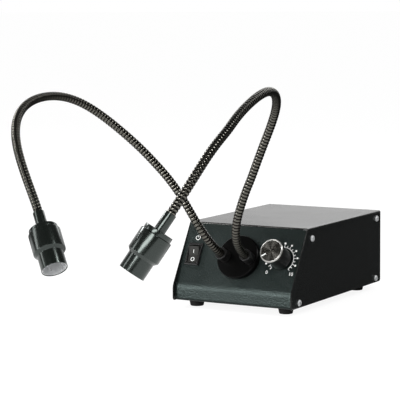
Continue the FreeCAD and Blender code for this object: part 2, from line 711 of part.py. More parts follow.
def neck_bundles(side_name, side, path):
    """Return the four lengths of fibre bundle, parted where the neck bends."""
    marks = neck_marks(path)
    bends = [sum(marks[name]) / 2 for name in ("root", "middle", "tip")]
    gap = BUNDLE_HINGE_GAP / 2
    end = path.length + FERRULE_LENGTH + FERRULE_HIDDEN_LENGTH
    return {
        side_name + "_bundle_root": root_bundle(side, path, bends[0] - gap),
        side_name + "_bundle_lower": rod_along(path, bends[0] + gap, bends[1] - gap, BUNDLE_RADIUS, BUNDLE_STEP),
        side_name + "_bundle_upper": rod_along(path, bends[1] + gap, bends[2] - gap, BUNDLE_RADIUS, BUNDLE_STEP),
        side_name + "_bundle_tip": rod_along(path, bends[2] + gap, end, BUNDLE_RADIUS, BUNDLE_STEP),
    }


# Focusing heads

def make_ferrule():
    """Return the sleeve that ends a neck and enters the head."""
    end = FERRULE_LENGTH + FERRULE_HIDDEN_LENGTH
    socket = NECK_RADIUS + 2 * SEAT_GAP
    return turned([
        (socket, 0), (FERRULE_RADIUS, 0), (FERRULE_RADIUS, end), (BUNDLE_RADIUS + SEAT_GAP, end),
        (BUNDLE_RADIUS + SEAT_GAP, NECK_INSERTION + PART_GAP), (socket, NECK_INSERTION + PART_GAP),
    ])


def make_collar():
    """Return the rear collar, whose spigot closes the barrel."""
    return turned([
        (FERRULE_RADIUS + SEAT_GAP, FERRULE_LENGTH), (COLLAR_RADIUS, FERRULE_LENGTH),
        (COLLAR_RADIUS, BARREL_START), (COLLAR_SPIGOT_RADIUS, BARREL_START),
        (COLLAR_SPIGOT_RADIUS, SPIGOT_END), (FERRULE_RADIUS + SEAT_GAP, SPIGOT_END),
    ])


def make_barrel():
    """Return the barrel with its shoulder and nose tube."""
    recess = COLLAR_SPIGOT_RADIUS + SEAT_GAP
    shoulder = BARREL_START + BARREL_LENGTH
    return turned([
        (recess, BARREL_START), (BARREL_RADIUS, BARREL_START), (BARREL_RADIUS, shoulder),
        (NOSE_RADIUS, SHOULDER_END), (NOSE_RADIUS, HEAD_LENGTH), (BARREL_BORE_RADIUS, HEAD_LENGTH),
        (BARREL_BORE_RADIUS, SPIGOT_END), (recess, SPIGOT_END),
    ])


def make_head_lens():
    """Return the lens that rests on the collar's spigot, crown forward."""
    radius = BARREL_BORE_RADIUS - SEAT_GAP
    edge = cylinder(radius, SPIGOT_END, SPIGOT_END + LENS_EDGE)
    crown_radius = radius - REFLECTOR_WALL - 2 * SEAT_GAP
    ball = (crown_radius ** 2 + LENS_CROWN ** 2) / (2 * LENS_CROWN)
    crown = Part.makeSphere(ball, V(0, 0, SPIGOT_END + LENS_EDGE + LENS_CROWN - ball))
    upper = cylinder(radius, SPIGOT_END + LENS_EDGE, SPIGOT_END + LENS_EDGE + LENS_CROWN + 1)
    return edge.fuse(crown.common(upper)).removeSplitter()


def make_reflector():
    """Return the bright liner of the nose."""
    outer = BARREL_BORE_RADIUS - SEAT_GAP
    low = SPIGOT_END + LENS_EDGE
    return ring(outer, outer - REFLECTOR_WALL, low, HEAD_LENGTH - REFLECTOR_SETBACK)


def head_pieces(side_name, path):
    """Return one head's five pieces on the end of its neck."""
    frame = path.frame(path.length)
    pieces = {
        "_head_ferrule": make_ferrule(), "_head_collar": make_collar(), "_head_barrel": make_barrel(),
        "_head_lens": make_head_lens(), "_head_reflector": make_reflector(),
    }
    return {side_name + name: moved(shape, frame) for name, shape in pieces.items()}


# Lamp

def lamp_frame(y):
    """Return a placement on the lamp's axis, with local Z pointing at the front."""
    return frame_at(V(0, y, OPTICAL_HEIGHT), V(1, 0, 0), V(0, -1, 0))


def make_heat_sink():
    """Return the finned heat sink that stands on the floor."""
    low = FLOOR_TOP
    high = FLOOR_TOP + SINK_HEIGHT
    base = block(SINK_WIDTH, SINK_BASE, low, high, 0, SINK_FRONT_Y + SINK_BASE / 2)
    pitch = (SINK_WIDTH - SINK_FIN_THICKNESS) / (SINK_FIN_COUNT - 1)
    fins = []
    for k in range(SINK_FIN_COUNT):
        x = -SINK_WIDTH / 2 + SINK_FIN_THICKNESS / 2 + k * pitch
        y = SINK_FRONT_Y + SINK_BASE + SINK_FIN_LENGTH / 2
        fins.append(block(SINK_FIN_THICKNESS, SINK_FIN_LENGTH + 1, low, high, x, y - 0.5))
    holes = []
    for place in sink_screw_places():
        holes.append(cylinder(SCREW_RADIUS + SEAT_GAP, low, FLOOR_TOP + FOOT_SCREW_LENGTH, place.x, place.y))
    return base.fuse(fins).removeSplitter().cut(holes)


def make_led_module():
    """Return the light-emitting board on the heat sink's face."""
    board = block(LED_BOARD_SIZE, LED_BOARD_SIZE, 0, LED_BOARD_THICKNESS)
    emitter = cylinder(EMITTER_RADIUS, LED_BOARD_THICKNESS, LED_BOARD_THICKNESS + EMITTER_HEIGHT)
    return moved(board.fuse(emitter).removeSplitter(), lamp_frame(SINK_FRONT_Y))


def make_lens_holder():
    """Return the tube that carries the condenser and takes the common end."""
    inner = HOLDER_RADIUS - HOLDER_WALL
    board_clearance = LED_BOARD_SIZE / math.sqrt(2) + PART_GAP
    front_wall = HOLDER_LENGTH - HOLDER_FRONT_WALL
    seat = CONDENSER_SEAT
    holder = turned([
        (board_clearance, 0), (HOLDER_FLANGE_RADIUS, 0), (HOLDER_FLANGE_RADIUS, HOLDER_FLANGE_THICKNESS + 2),
        (HOLDER_RADIUS, HOLDER_FLANGE_THICKNESS + 2), (HOLDER_RADIUS, HOLDER_LENGTH),
        (COMMON_END_RADIUS + SEAT_GAP, HOLDER_LENGTH), (COMMON_END_RADIUS + SEAT_GAP, front_wall),
        (inner, front_wall), (inner, seat), (inner - 1, seat), (inner - 1, HOLDER_FLANGE_THICKNESS),
        (board_clearance, HOLDER_FLANGE_THICKNESS),
    ])
    return moved(holder, lamp_frame(SINK_FRONT_Y))


def make_condenser_lens():
    """Return the condenser, flat towards the emitter."""
    radius = HOLDER_RADIUS - HOLDER_WALL - SEAT_GAP
    top = CONDENSER_SEAT + CONDENSER_EDGE
    edge = cylinder(radius, CONDENSER_SEAT, top)
    ball = (radius ** 2 + CONDENSER_CROWN ** 2) / (2 * CONDENSER_CROWN)
    crown = Part.makeSphere(ball, V(0, 0, top + CONDENSER_CROWN - ball))
    lens = edge.fuse(crown.common(cylinder(radius, top, top + CONDENSER_CROWN + 1))).removeSplitter()
    return moved(lens, lamp_frame(SINK_FRONT_Y))


def make_guide_common_end():
    """Return the block where both bundles end, seated in the lens holder."""
    low = HOLDER_LENGTH - HOLDER_FRONT_WALL
    high = low + COMMON_END_LENGTH
    body = cylinder(COMMON_END_RADIUS, low, high)
    bore = BUNDLE_RADIUS + SEAT_GAP
    bores = [cylinder(bore, low, high, x) for x in (-COMMON_BORE_X, COMMON_BORE_X)]
    return moved(body.cut(bores), lamp_frame(SINK_FRONT_Y))


# Fan

def fan_blade(angle):
    """Return one slanted blade, long enough to reach into the hub."""
    middle = (FAN_HUB_RADIUS + FAN_BORE_RADIUS) / 2
    blade = block(FAN_BORE_RADIUS - FAN_HUB_RADIUS + 4, FAN_BLADE_CHORD, 0, FAN_BLADE_THICKNESS)
    blade.translate(V(0, 0, -FAN_BLADE_THICKNESS / 2))
    blade.rotate(V(0, 0, 0), V(1, 0, 0), FAN_BLADE_PITCH)
    blade.translate(V(middle, 0, 0))
    blade.rotate(V(0, 0, 0), V(0, 0, 1), angle)
    return blade


def make_fan_rotor():
    """Return the fan's hub and blades, in the fan's frame with Z pointing out of the case."""
    low = -CHASSIS_SHEET - FAN_DEPTH + 1
    high = -CHASSIS_SHEET - FAN_BASE_THICKNESS - PART_GAP
    hub = cylinder(FAN_HUB_RADIUS, low, high)
    blades = []
    for k in range(FAN_BLADE_COUNT):
        blade = fan_blade(360.0 * k / FAN_BLADE_COUNT)
        blade.translate(V(0, 0, (low + high) / 2))
        blades.append(blade)
    swept = cylinder(FAN_BORE_RADIUS - FAN_TIP_GAP, low, high)
    bore_start = -CHASSIS_SHEET - FAN_BASE_THICKNESS - FAN_PIN_LENGTH - PART_GAP
    bore = cylinder(FAN_PIN_RADIUS + SEAT_GAP, bore_start, high)
    rotor = hub.fuse(blades).common(swept).removeSplitter().cut(bore)
    return moved(rotor, rear_frame(FAN_X, FAN_Z))


def make_fan_frame():
    """Return the fan's square frame with its struts and bearing pin."""
    high = -CHASSIS_SHEET
    low = high - FAN_DEPTH
    frame = block(FAN_SIZE, FAN_SIZE, low, high)
    upright = [e for e in frame.Edges if abs(e.Vertexes[0].Z - e.Vertexes[1].Z) > 1]
    frame = frame.makeFillet(FAN_CORNER_RADIUS, upright).cut(cylinder(FAN_BORE_RADIUS, low, high))
    base = high - FAN_BASE_THICKNESS
    additions = [cylinder(FAN_HUB_RADIUS, base, high)]
    additions += [block(2 * FAN_BORE_RADIUS + 1, FAN_STRUT_WIDTH, base, high)]
    additions += [block(FAN_STRUT_WIDTH, 2 * FAN_BORE_RADIUS + 1, base, high)]
    additions += [cylinder(FAN_PIN_RADIUS, base - FAN_PIN_LENGTH, high)]
    frame = frame.fuse(additions).removeSplitter()
    holes = [cylinder(SCREW_RADIUS + SEAT_GAP, low, high, x, y) for x, y in fan_screw_places()]
    return moved(frame.cut(holes), rear_frame(FAN_X, FAN_Z))


def make_rear_screws():
    """Return the screws of the fan and of the inlet."""
    screws = []
    for x, y in fan_screw_places():
        screw = bench_screw(REAR_SCREW_LENGTH)
        screw.translate(V(x, y, 0))
        screws.append(moved(screw, rear_frame(FAN_X, FAN_Z)))
    for x in (-INLET_SCREW_SPACING / 2, INLET_SCREW_SPACING / 2):
        screw = bench_screw(REAR_SCREW_LENGTH)
        screw.translate(V(x, 0, INLET_FLANGE_THICKNESS))
        screws.append(moved(screw, rear_frame(INLET_X, INLET_Z)))
    return Part.makeCompound(screws)


# Inlet and fuse

def pin_places():
    """Return the inlet's three pins in its own frame, earth in the middle."""
    return [(-PIN_SPACING / 2, -PIN_OFFSET), (PIN_SPACING / 2, -PIN_OFFSET), (0.0, PIN_OFFSET)]


def make_power_inlet():
    """Return the mains inlet's moulding with its deep mouth."""
    body = block(INLET_BODY_WIDTH, INLET_BODY_HEIGHT, -INLET_BODY_DEPTH, 0)
    flange = block(INLET_FLANGE_WIDTH, INLET_FLANGE_HEIGHT, 0, INLET_FLANGE_THICKNESS)
    upright = [e for e in flange.Edges if abs(e.Vertexes[0].Z - e.Vertexes[1].Z) > 1]
    flange = flange.makeFillet(INLET_FLANGE_HEIGHT * 0.25, upright)
    floor = INLET_FLANGE_THICKNESS - INLET_MOUTH_DEPTH
    cuts = [block(INLET_MOUTH_WIDTH, INLET_MOUTH_HEIGHT, floor, INLET_FLANGE_THICKNESS)]
    for x, y in pin_places():
        cuts.append(block(PIN_WIDTH, PIN_HEIGHT, -INLET_BODY_DEPTH, floor, x, y))
    for x in (-INLET_SCREW_SPACING / 2, INLET_SCREW_SPACING / 2):
        cuts.append(cylinder(SCREW_HOLE_RADIUS, 0, INLET_FLANGE_THICKNESS, x))
    return moved(body.fuse(flange).removeSplitter().cut(cuts), rear_frame(INLET_X, INLET_Z))


def make_inlet_pins():
    """Return the inlet's three pins with their tails."""
    low = -INLET_BODY_DEPTH - PIN_TAIL
    high = INLET_FLANGE_THICKNESS - PIN_SETBACK
    pins = [block(PIN_WIDTH, PIN_HEIGHT, low, high, x, y) for x, y in pin_places()]
    return moved(Part.makeCompound(pins), rear_frame(INLET_X, INLET_Z))


def make_fuse_holder():
    """Return the fuse holder's barrel and flange."""
    holder = turned([
        (FUSE_BORE_RADIUS, FUSE_FLANGE_THICKNESS), (FUSE_FLANGE_RADIUS, FUSE_FLANGE_THICKNESS),
        (FUSE_FLANGE_RADIUS, 0), (FUSE_RADIUS, 0), (FUSE_RADIUS, -FUSE_LENGTH), (0, -FUSE_LENGTH),
        (0, -FUSE_STEM_LENGTH - PART_GAP), (FUSE_BORE_RADIUS, -FUSE_STEM_LENGTH - PART_GAP),
    ])
    return moved(holder, rear_frame(FUSE_X, FUSE_Z))


def make_fuse_cap():
    """Return the fuse cap with its slot and the stem that carries the fuse."""
    low = FUSE_FLANGE_THICKNESS
    high = low + FUSE_CAP_HEIGHT
    cap = cylinder(FUSE_CAP_RADIUS, low, high).fuse(cylinder(FUSE_STEM_RADIUS, -FUSE_STEM_LENGTH, low))
    slot = block(2 * FUSE_CAP_RADIUS, 1.5, high - 1.5, high)
    return moved(cap.removeSplitter().cut(slot), rear_frame(FUSE_X, FUSE_Z))


# Driver board

def board_top():
    """Return the height of the driver board's upper face."""
    return FLOOR_TOP + BOARD_LIFT + BOARD_THICKNESS


def make_driver_board():
    """Return the bare driver board with its post holes."""
    y = BOARD_FRONT_Y + BOARD_DEPTH / 2
    board = block(BOARD_WIDTH, BOARD_DEPTH, FLOOR_TOP + BOARD_LIFT, board_top(), 0, y)
    radius = STANDOFF_PIN_RADIUS + SEAT_GAP
    return board.cut([cylinder(radius, FLOOR_TOP, board_top() + 1, p.x, p.y) for p in standoff_places()])


def make_board_standoffs():
    """Return the four posts that snap into the floor and the board."""
    posts = []
    for place in standoff_places():
        post = cylinder(STANDOFF_RADIUS, FLOOR_TOP, FLOOR_TOP + BOARD_LIFT, place.x, place.y)
        pin = cylinder(STANDOFF_PIN_RADIUS, CASE_BOTTOM, board_top() + 1, place.x, place.y)
        posts.append(post.fuse(pin).removeSplitter())
    return Part.makeCompound(posts)


def make_board_transformer():
    """Return the driver's transformer."""
    size = TRANSFORMER_SIZE
    x = TRANSFORMER_INSET - BOARD_WIDTH / 2
    y = BOARD_FRONT_Y + BOARD_DEPTH / 2
    return block(size.x, size.y, board_top(), board_top() + size.z, x, y)


def make_board_capacitors():
    """Return the driver's capacitors."""
    y = BOARD_FRONT_Y + BOARD_DEPTH / 2
    cans = []
    for inset, radius, height in CAPACITORS:
        cans.append(cylinder(radius, board_top(), board_top() + height, BOARD_WIDTH / 2 - inset, y))
    return Part.makeCompound(cans)


def wire_between(start, start_way, end, end_way):
    """Return one sleeved wire between two terminals, leaving and arriving along given ways."""
    pull = (end - start).Length * 0.4
    frames = bezier_frames(start, start + start_way * pull, end - end_way * pull, end, WIRE_STEPS)
    return Part.makeLoft([circle_at(f, WIRE_RADIUS) for f in frames], True, True)


def make_wiring_harness():
    """Return the sleeved wires that join the switch, dimmer, inlet and fan to the board."""
    landing = board_top() + PART_GAP
    down = V(0, 0, -1)
    inward = PANEL_OUT * -1
    landing_y = BOARD_FRONT_Y + BOARD_DEPTH / 3
    near_fan_y = BOARD_FRONT_Y + BOARD_DEPTH * 0.6
    switch_end = panel_frame(SWITCH_X, SWITCH_S, -SWITCH_BODY_DEPTH - PART_GAP).Base
    dimmer_end = panel_frame(KNOB_X, KNOB_S, -CHASSIS_SHEET - POT_LENGTH - PART_GAP).Base
    pin_x, pin_y = pin_places()[0]
    inlet_y = REAR_Y - INLET_BODY_DEPTH - PIN_TAIL - PART_GAP
    inlet_end = V(INLET_X - pin_x, inlet_y, INLET_Z + pin_y)
    fan_end = V(FAN_X - 22, REAR_Y - CHASSIS_SHEET - FAN_DEPTH - PART_GAP, FAN_Z - 15)
    wires = [
        wire_between(switch_end, inward, V(SWITCH_X + 5, landing_y, landing), down),
        wire_between(dimmer_end, inward, V(KNOB_X, landing_y, landing), down),
        wire_between(inlet_end, V(0, -1, 0), V(inlet_end.x, inlet_y - 8, landing), down),
        wire_between(fan_end, V(0, -1, 0), V(SWITCH_X + 5, near_fan_y, landing), down),
    ]
    return Part.makeCompound(wires)


# Controls

def make_switch_housing():
    """Return the switch's bezel and body with the paddle's window."""
    bezel = block(BEZEL_WIDTH, BEZEL_LENGTH, 0, BEZEL_HEIGHT)
    upright = [e for e in bezel.Edges if abs(e.Vertexes[0].Z - e.Vertexes[1].Z) > 1]
    bezel = bezel.makeFillet(0.8, upright)
    body = block(SWITCH_BODY_WIDTH, SWITCH_BODY_LENGTH, -SWITCH_BODY_DEPTH, 0)
    depth = PADDLE_PIVOT_DEPTH + PADDLE_RADIUS + PART_GAP
    window = block(PADDLE_WIDTH + 2 * PART_GAP, 2 * (PADDLE_RADIUS + PART_GAP), -depth, BEZEL_HEIGHT)
    housing = bezel.fuse(body).removeSplitter().cut(window)
    length = PADDLE_WIDTH + 2 * TRUNNION_LENGTH + 2 * PART_GAP
    pivot = Part.makeCylinder(
        TRUNNION_RADIUS + SEAT_GAP, length, V(-length / 2, 0, -PADDLE_PIVOT_DEPTH), V(1, 0, 0))
    return moved(housing.cut(pivot), panel_frame(SWITCH_X, SWITCH_S))


def make_switch_rocker():
    """Return the paddle, rocked so that its lower end is pressed in."""
    reach = PADDLE_RADIUS + 1
    outline = [
        (reach, -PADDLE_FLOOR), (reach, PADDLE_END_HEIGHT), (0, PADDLE_MIDDLE_HEIGHT),
        (-reach, PADDLE_END_HEIGHT), (-reach, -PADDLE_FLOOR),
    ]
    corners = [V(-PADDLE_WIDTH / 2, y, z) for y, z in outline]
    wedge = Part.Face(Part.makePolygon(corners + corners[:1])).extrude(V(PADDLE_WIDTH, 0, 0))
    drum = Part.makeCylinder(PADDLE_RADIUS, PADDLE_WIDTH, V(-PADDLE_WIDTH / 2, 0, 0), V(1, 0, 0))
    length = PADDLE_WIDTH + 2 * TRUNNION_LENGTH
    pivot = Part.makeCylinder(TRUNNION_RADIUS, length, V(-length / 2, 0, 0), V(1, 0, 0))
    paddle = wedge.common(drum).fuse(pivot).removeSplitter()
    paddle.rotate(V(0, 0, 0), V(1, 0, 0), PADDLE_REST_TILT)
    return moved(paddle, panel_frame(SWITCH_X, SWITCH_S, -PADDLE_PIVOT_DEPTH))


def make_dimmer_pot():
    """Return the potentiometer's can and bushing."""
    top = -CHASSIS_SHEET
    can = cylinder(POT_RADIUS, top - POT_LENGTH, top)
    bushing = cylinder(BUSHING_RADIUS, top, BUSHING_LENGTH)
    bore = cylinder(SHAFT_RADIUS + SEAT_GAP, top - POT_LENGTH + 1, BUSHING_LENGTH)
    return moved(can.fuse(bushing).removeSplitter().cut(bore), panel_frame(KNOB_X, KNOB_S))


def make_pot_nut():
    """Return the nut on the potentiometer's bushing."""
    nut = hexagon(POT_NUT_ACROSS_FLATS, 0, POT_NUT_THICKNESS)
    bore = cylinder(BUSHING_RADIUS + SEAT_GAP, 0, POT_NUT_THICKNESS)
    return moved(nut.cut(bore), panel_frame(KNOB_X, KNOB_S))


def make_dimmer_shaft():
    """Return the shaft that the knob grips."""
    low = -CHASSIS_SHEET - POT_LENGTH + 1 + PART_GAP
    return moved(cylinder(SHAFT_RADIUS, low, shaft_top()), panel_frame(KNOB_X, KNOB_S))


def shaft_top():
    """Return how far the shaft stands out of the panel."""
    return KNOB_HEIGHT - KNOB_CAP_THICKNESS - 2.0


def make_dimmer_knob():
    """Return the knob's grip, hollow over the nut."""
    top = KNOB_HEIGHT - KNOB_CAP_THICKNESS
    recess_top = KNOB_LIFT + KNOB_RECESS_DEPTH
    bore = SHAFT_RADIUS + SEAT_GAP
    grip = turned([
        (KNOB_RECESS_RADIUS, KNOB_LIFT), (KNOB_BODY_RADIUS, KNOB_LIFT), (KNOB_BODY_RADIUS, top), (0, top),
        (0, shaft_top()), (bore, shaft_top()), (bore, recess_top), (KNOB_RECESS_RADIUS, recess_top),
    ])
    return moved(grip, panel_frame(KNOB_X, KNOB_S))


def make_knob_cap():
    """Return the spun metal disc on the knob's end."""
    low = KNOB_HEIGHT - KNOB_CAP_THICKNESS
    chamfer = 0.7
    cap = turned([
        (0, low), (KNOB_CAP_RADIUS, low), (KNOB_CAP_RADIUS, KNOB_HEIGHT - chamfer),
        (KNOB_CAP_RADIUS - chamfer, KNOB_HEIGHT), (0, KNOB_HEIGHT),
    ])
    return moved(cap, panel_frame(KNOB_X, KNOB_S))


def all_pieces():
    """Return every piece under its node's name."""
    pieces = {
        "base_chassis": make_base_chassis(),
        "top_cover": make_top_cover(),
        "cover_screws": make_cover_screws(),
        "rubber_feet": make_rubber_feet(),
        "floor_screws": make_floor_screws(),
        "light_port": make_light_port(),
        "port_nut": make_port_nut(),
        "neck_sockets": make_neck_sockets(),
        "guide_common_end": make_guide_common_end(),
        "condenser_lens": make_condenser_lens(),
        "lens_holder": make_lens_holder(),
        "heat_sink": make_heat_sink(),
        "led_module": make_led_module(),
        "fan_frame": make_fan_frame(),
        "fan_rotor": make_fan_rotor(),
        "rear_screws": make_rear_screws(),
        "power_inlet": make_power_inlet(),
        "inlet_pins": make_inlet_pins(),
        "fuse_holder": make_fuse_holder(),
        "fuse_cap": make_fuse_cap(),
        "driver_board": make_driver_board(),
        "board_standoffs": make_board_standoffs(),
        "board_transformer": make_board_transformer(),
        "board_capacitors": make_board_capacitors(),
        "wiring_harness": make_wiring_harness(),
        "switch_housing": make_switch_housing(),
        "switch_rocker": make_switch_rocker(),
        "dimmer_pot": make_dimmer_pot(),
        "pot_nut": make_pot_nut(),
        "dimmer_shaft": make_dimmer_shaft(),
        "dimmer_knob": make_dimmer_knob(),
        "knob_cap": make_knob_cap(),
    }
    for side_name, side, route in (("left", -1, LEFT_ROUTE), ("right", 1, RIGHT_ROUTE)):
        path = NeckPath(side, route)
        pieces.update(neck_conduits(side_name, path))
        pieces.update(neck_bundles(side_name, side, path))
        pieces.update(head_pieces(side_name, path))
    return pieces


def main():
    """Write every piece, moved from the case's frame to the object's."""
    os.makedirs("parts", exist_ok=True)
    for name, shape in all_pieces().items():
        placed = shape.copy()
        placed.translate(CASE_OFFSET)
        placed.exportStep("parts/" + name + ".step")


main()
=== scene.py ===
"""Looks of a bench light source with two self-holding light guides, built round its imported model.

Local shapes are drawn in millimetres. A placement, a 4 by 4 matrix, carries them into the model's
frame in metres, so every finished object stays at the origin with its place in its mesh.
"""

import json
import logging
import math
from dataclasses import dataclass, field
from enum import Enum
from typing import Any, Iterable, Sequence

import bmesh
import bpy
from mathutils import Matrix, Vector
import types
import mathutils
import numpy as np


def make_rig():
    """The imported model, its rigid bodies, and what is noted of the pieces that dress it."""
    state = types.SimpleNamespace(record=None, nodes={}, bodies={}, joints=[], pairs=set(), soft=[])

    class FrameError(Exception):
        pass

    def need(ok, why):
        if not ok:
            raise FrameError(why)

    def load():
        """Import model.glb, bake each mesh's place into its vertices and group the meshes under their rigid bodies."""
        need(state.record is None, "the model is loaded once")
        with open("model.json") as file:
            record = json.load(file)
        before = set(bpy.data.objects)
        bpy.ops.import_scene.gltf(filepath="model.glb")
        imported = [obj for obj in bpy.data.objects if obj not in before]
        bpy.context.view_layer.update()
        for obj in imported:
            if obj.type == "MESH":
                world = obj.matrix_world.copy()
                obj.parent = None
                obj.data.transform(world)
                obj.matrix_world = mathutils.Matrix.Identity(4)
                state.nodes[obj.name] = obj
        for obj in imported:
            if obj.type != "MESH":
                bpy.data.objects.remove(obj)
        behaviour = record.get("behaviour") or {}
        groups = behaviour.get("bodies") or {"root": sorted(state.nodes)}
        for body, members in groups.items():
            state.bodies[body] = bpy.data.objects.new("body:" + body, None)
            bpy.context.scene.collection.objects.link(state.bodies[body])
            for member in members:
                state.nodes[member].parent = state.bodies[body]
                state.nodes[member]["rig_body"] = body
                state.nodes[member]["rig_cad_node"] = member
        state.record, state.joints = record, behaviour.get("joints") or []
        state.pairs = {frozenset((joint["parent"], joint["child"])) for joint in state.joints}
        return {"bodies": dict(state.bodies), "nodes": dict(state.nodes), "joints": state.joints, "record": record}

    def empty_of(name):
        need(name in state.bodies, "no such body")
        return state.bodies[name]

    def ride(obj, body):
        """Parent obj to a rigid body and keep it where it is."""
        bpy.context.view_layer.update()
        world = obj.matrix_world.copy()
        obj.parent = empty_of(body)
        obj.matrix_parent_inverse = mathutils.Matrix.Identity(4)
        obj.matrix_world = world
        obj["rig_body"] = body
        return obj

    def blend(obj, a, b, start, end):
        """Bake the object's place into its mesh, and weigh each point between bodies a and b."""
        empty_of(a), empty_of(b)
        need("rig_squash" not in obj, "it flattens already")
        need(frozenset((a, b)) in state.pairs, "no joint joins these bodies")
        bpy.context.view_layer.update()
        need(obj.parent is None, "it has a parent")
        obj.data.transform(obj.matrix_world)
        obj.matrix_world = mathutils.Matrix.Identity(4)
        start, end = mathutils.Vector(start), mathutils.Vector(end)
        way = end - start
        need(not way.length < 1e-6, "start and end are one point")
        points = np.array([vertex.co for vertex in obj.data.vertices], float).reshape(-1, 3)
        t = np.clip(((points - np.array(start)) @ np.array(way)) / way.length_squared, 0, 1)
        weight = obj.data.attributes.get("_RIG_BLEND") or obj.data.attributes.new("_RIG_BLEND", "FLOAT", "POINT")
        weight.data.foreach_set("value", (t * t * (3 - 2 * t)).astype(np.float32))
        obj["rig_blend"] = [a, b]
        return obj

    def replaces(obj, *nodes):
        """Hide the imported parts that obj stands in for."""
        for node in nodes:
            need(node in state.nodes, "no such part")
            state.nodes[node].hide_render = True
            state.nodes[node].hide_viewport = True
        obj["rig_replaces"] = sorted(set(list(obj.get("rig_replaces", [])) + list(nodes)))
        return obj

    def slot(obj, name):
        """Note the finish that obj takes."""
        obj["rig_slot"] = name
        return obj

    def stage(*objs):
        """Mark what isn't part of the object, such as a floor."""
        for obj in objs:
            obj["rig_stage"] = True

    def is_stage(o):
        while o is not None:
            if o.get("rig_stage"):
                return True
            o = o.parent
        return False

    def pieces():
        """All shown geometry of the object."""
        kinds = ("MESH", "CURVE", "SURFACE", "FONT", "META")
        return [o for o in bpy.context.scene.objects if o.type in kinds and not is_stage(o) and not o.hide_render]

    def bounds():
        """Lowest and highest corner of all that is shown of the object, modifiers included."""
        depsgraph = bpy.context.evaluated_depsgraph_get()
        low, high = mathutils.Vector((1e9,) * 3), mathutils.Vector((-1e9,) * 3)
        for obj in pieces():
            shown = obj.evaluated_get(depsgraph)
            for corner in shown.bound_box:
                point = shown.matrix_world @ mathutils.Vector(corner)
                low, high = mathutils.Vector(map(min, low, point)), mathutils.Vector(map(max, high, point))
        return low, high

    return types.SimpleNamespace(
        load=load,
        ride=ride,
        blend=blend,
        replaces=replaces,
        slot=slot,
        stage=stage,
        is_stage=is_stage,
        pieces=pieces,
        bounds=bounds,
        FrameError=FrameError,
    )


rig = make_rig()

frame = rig.load()
CAD_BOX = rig.bounds()

LOG = logging.getLogger("light_source")
SIZE_FILE = "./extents.json"
MM = 0.001
NOTHING = 1e-6
UNMOVED = Matrix.Identity(4)

# The origin of the case's own frame, in millimetres in the model's frame
CASE_OFFSET = Vector((15.4, 125.3, 0.0))
# The necks' outer radius, and the bore that takes them
NECK_RADIUS = 3.75
NECK_BORE = NECK_RADIUS + 0.1

ROUND_SEGMENTS = 96
CORNER_STEPS = 4
# The largest share of an edge that a rounded corner takes
CORNER_SHARE = 0.45
# Corners of a node's mesh that are nearer than this, in millimetres, are one
WELD = 0.002
FLAT_ANGLE = math.radians(1)
SMOOTH_ANGLE = math.radians(32)
SOFTENED_ANGLE = math.radians(40)

Point2 = tuple[float, float]
Settings = dict[Any, Any]


# Nodes and colours

def linear(colour: str) -> tuple[float, float, float, float]:
    """Turn an sRGB hex colour to linear light.

    Args:
        colour: Six hex digits after a hash.

    Returns:
        Red, green, blue and a full alpha.
    """
    channels = [int(colour[k:k + 2], 16) / 255 for k in (1, 3, 5)]
    light = [c / 12.92 if c <= 0.04045 else ((c + 0.055) / 1.055) ** 2.4 for c in channels]
    return light[0], light[1], light[2], 1.0


def fit_node(node: bpy.types.Node, settings: Settings) -> bpy.types.Node:
    """Give a node its settings and links.

    Args:
        node: A node in its tree.
        settings: Values under a property's name, or under an input's name or number. An output
            socket is linked to its input, and a node stands for its first output.

    Returns:
        The same node.
    """
    for key, value in settings.items():
        if isinstance(value, bpy.types.Node):
            value = value.outputs[0]
        if isinstance(value, bpy.types.NodeSocket):
            node.id_data.links.new(value, node.inputs[key])
        elif isinstance(key, str) and hasattr(node, key):
            setattr(node, key, value)
        else:
            node.inputs[key].default_value = value
    return node


def add_node(tree: bpy.types.NodeTree, kind: str, settings: Settings | None = None) -> bpy.types.Node:
    """Add a node to a tree with its settings and links.

    Args:
        tree: The tree that gets the node.
        kind: The node's type name.
        settings: Its settings and links, as fit_node takes them.

    Returns:
        The new node.
    """
    return fit_node(tree.nodes.new(kind), settings or {})


# Finishes

class Grain(Enum):
    """How a surface was made, which decides its pattern."""

    POWDER = "powder-coated"
    MOULDED = "moulded"
    TURNED = "turned on a lathe"
    SPUN = "spun to circular lines"
    COILED = "wound strip"
    PRINTED = "printed ink"
    DRAWN = "drawn or rolled"


NOISE_DETAIL = {Grain.POWDER: 2.0, Grain.MOULDED: 6.0, Grain.TURNED: 3.0, Grain.SPUN: 3.0,
                Grain.COILED: 4.0, Grain.PRINTED: 4.0, Grain.DRAWN: 4.0}
# About how many times a turning line changes in strength along one turn
TURN_CHANGES = {Grain.TURNED: 2.0, Grain.SPUN: 0.0}
RING_ROUGHNESS = 0.65
GRAIN_ROUGHNESS = 0.55
# The noise levels between which a pebble of powder coat rises
PEBBLE_EDGES = (0.36, 0.64)
# Slow changes of gloss, about 36 mm apart, and the noise levels that they span
PATCHES_PER_METRE = 28.0
PATCH_LEVELS = (0.3, 0.7)
LEAST_ROUGHNESS = 0.02
# Painted shade in a coil's grooves, as a share of its crest's colour, and how narrow the unshaded crest is
GROOVE_PAINTED_SHADE = 0.05
CREST_POWER = 4.0
COAT_ROUGHNESS = 0.08
GLASS_IOR = 1.52
# A quarter of a turn, which lays the highlight across the circular lines
ACROSS_LINES = 0.25


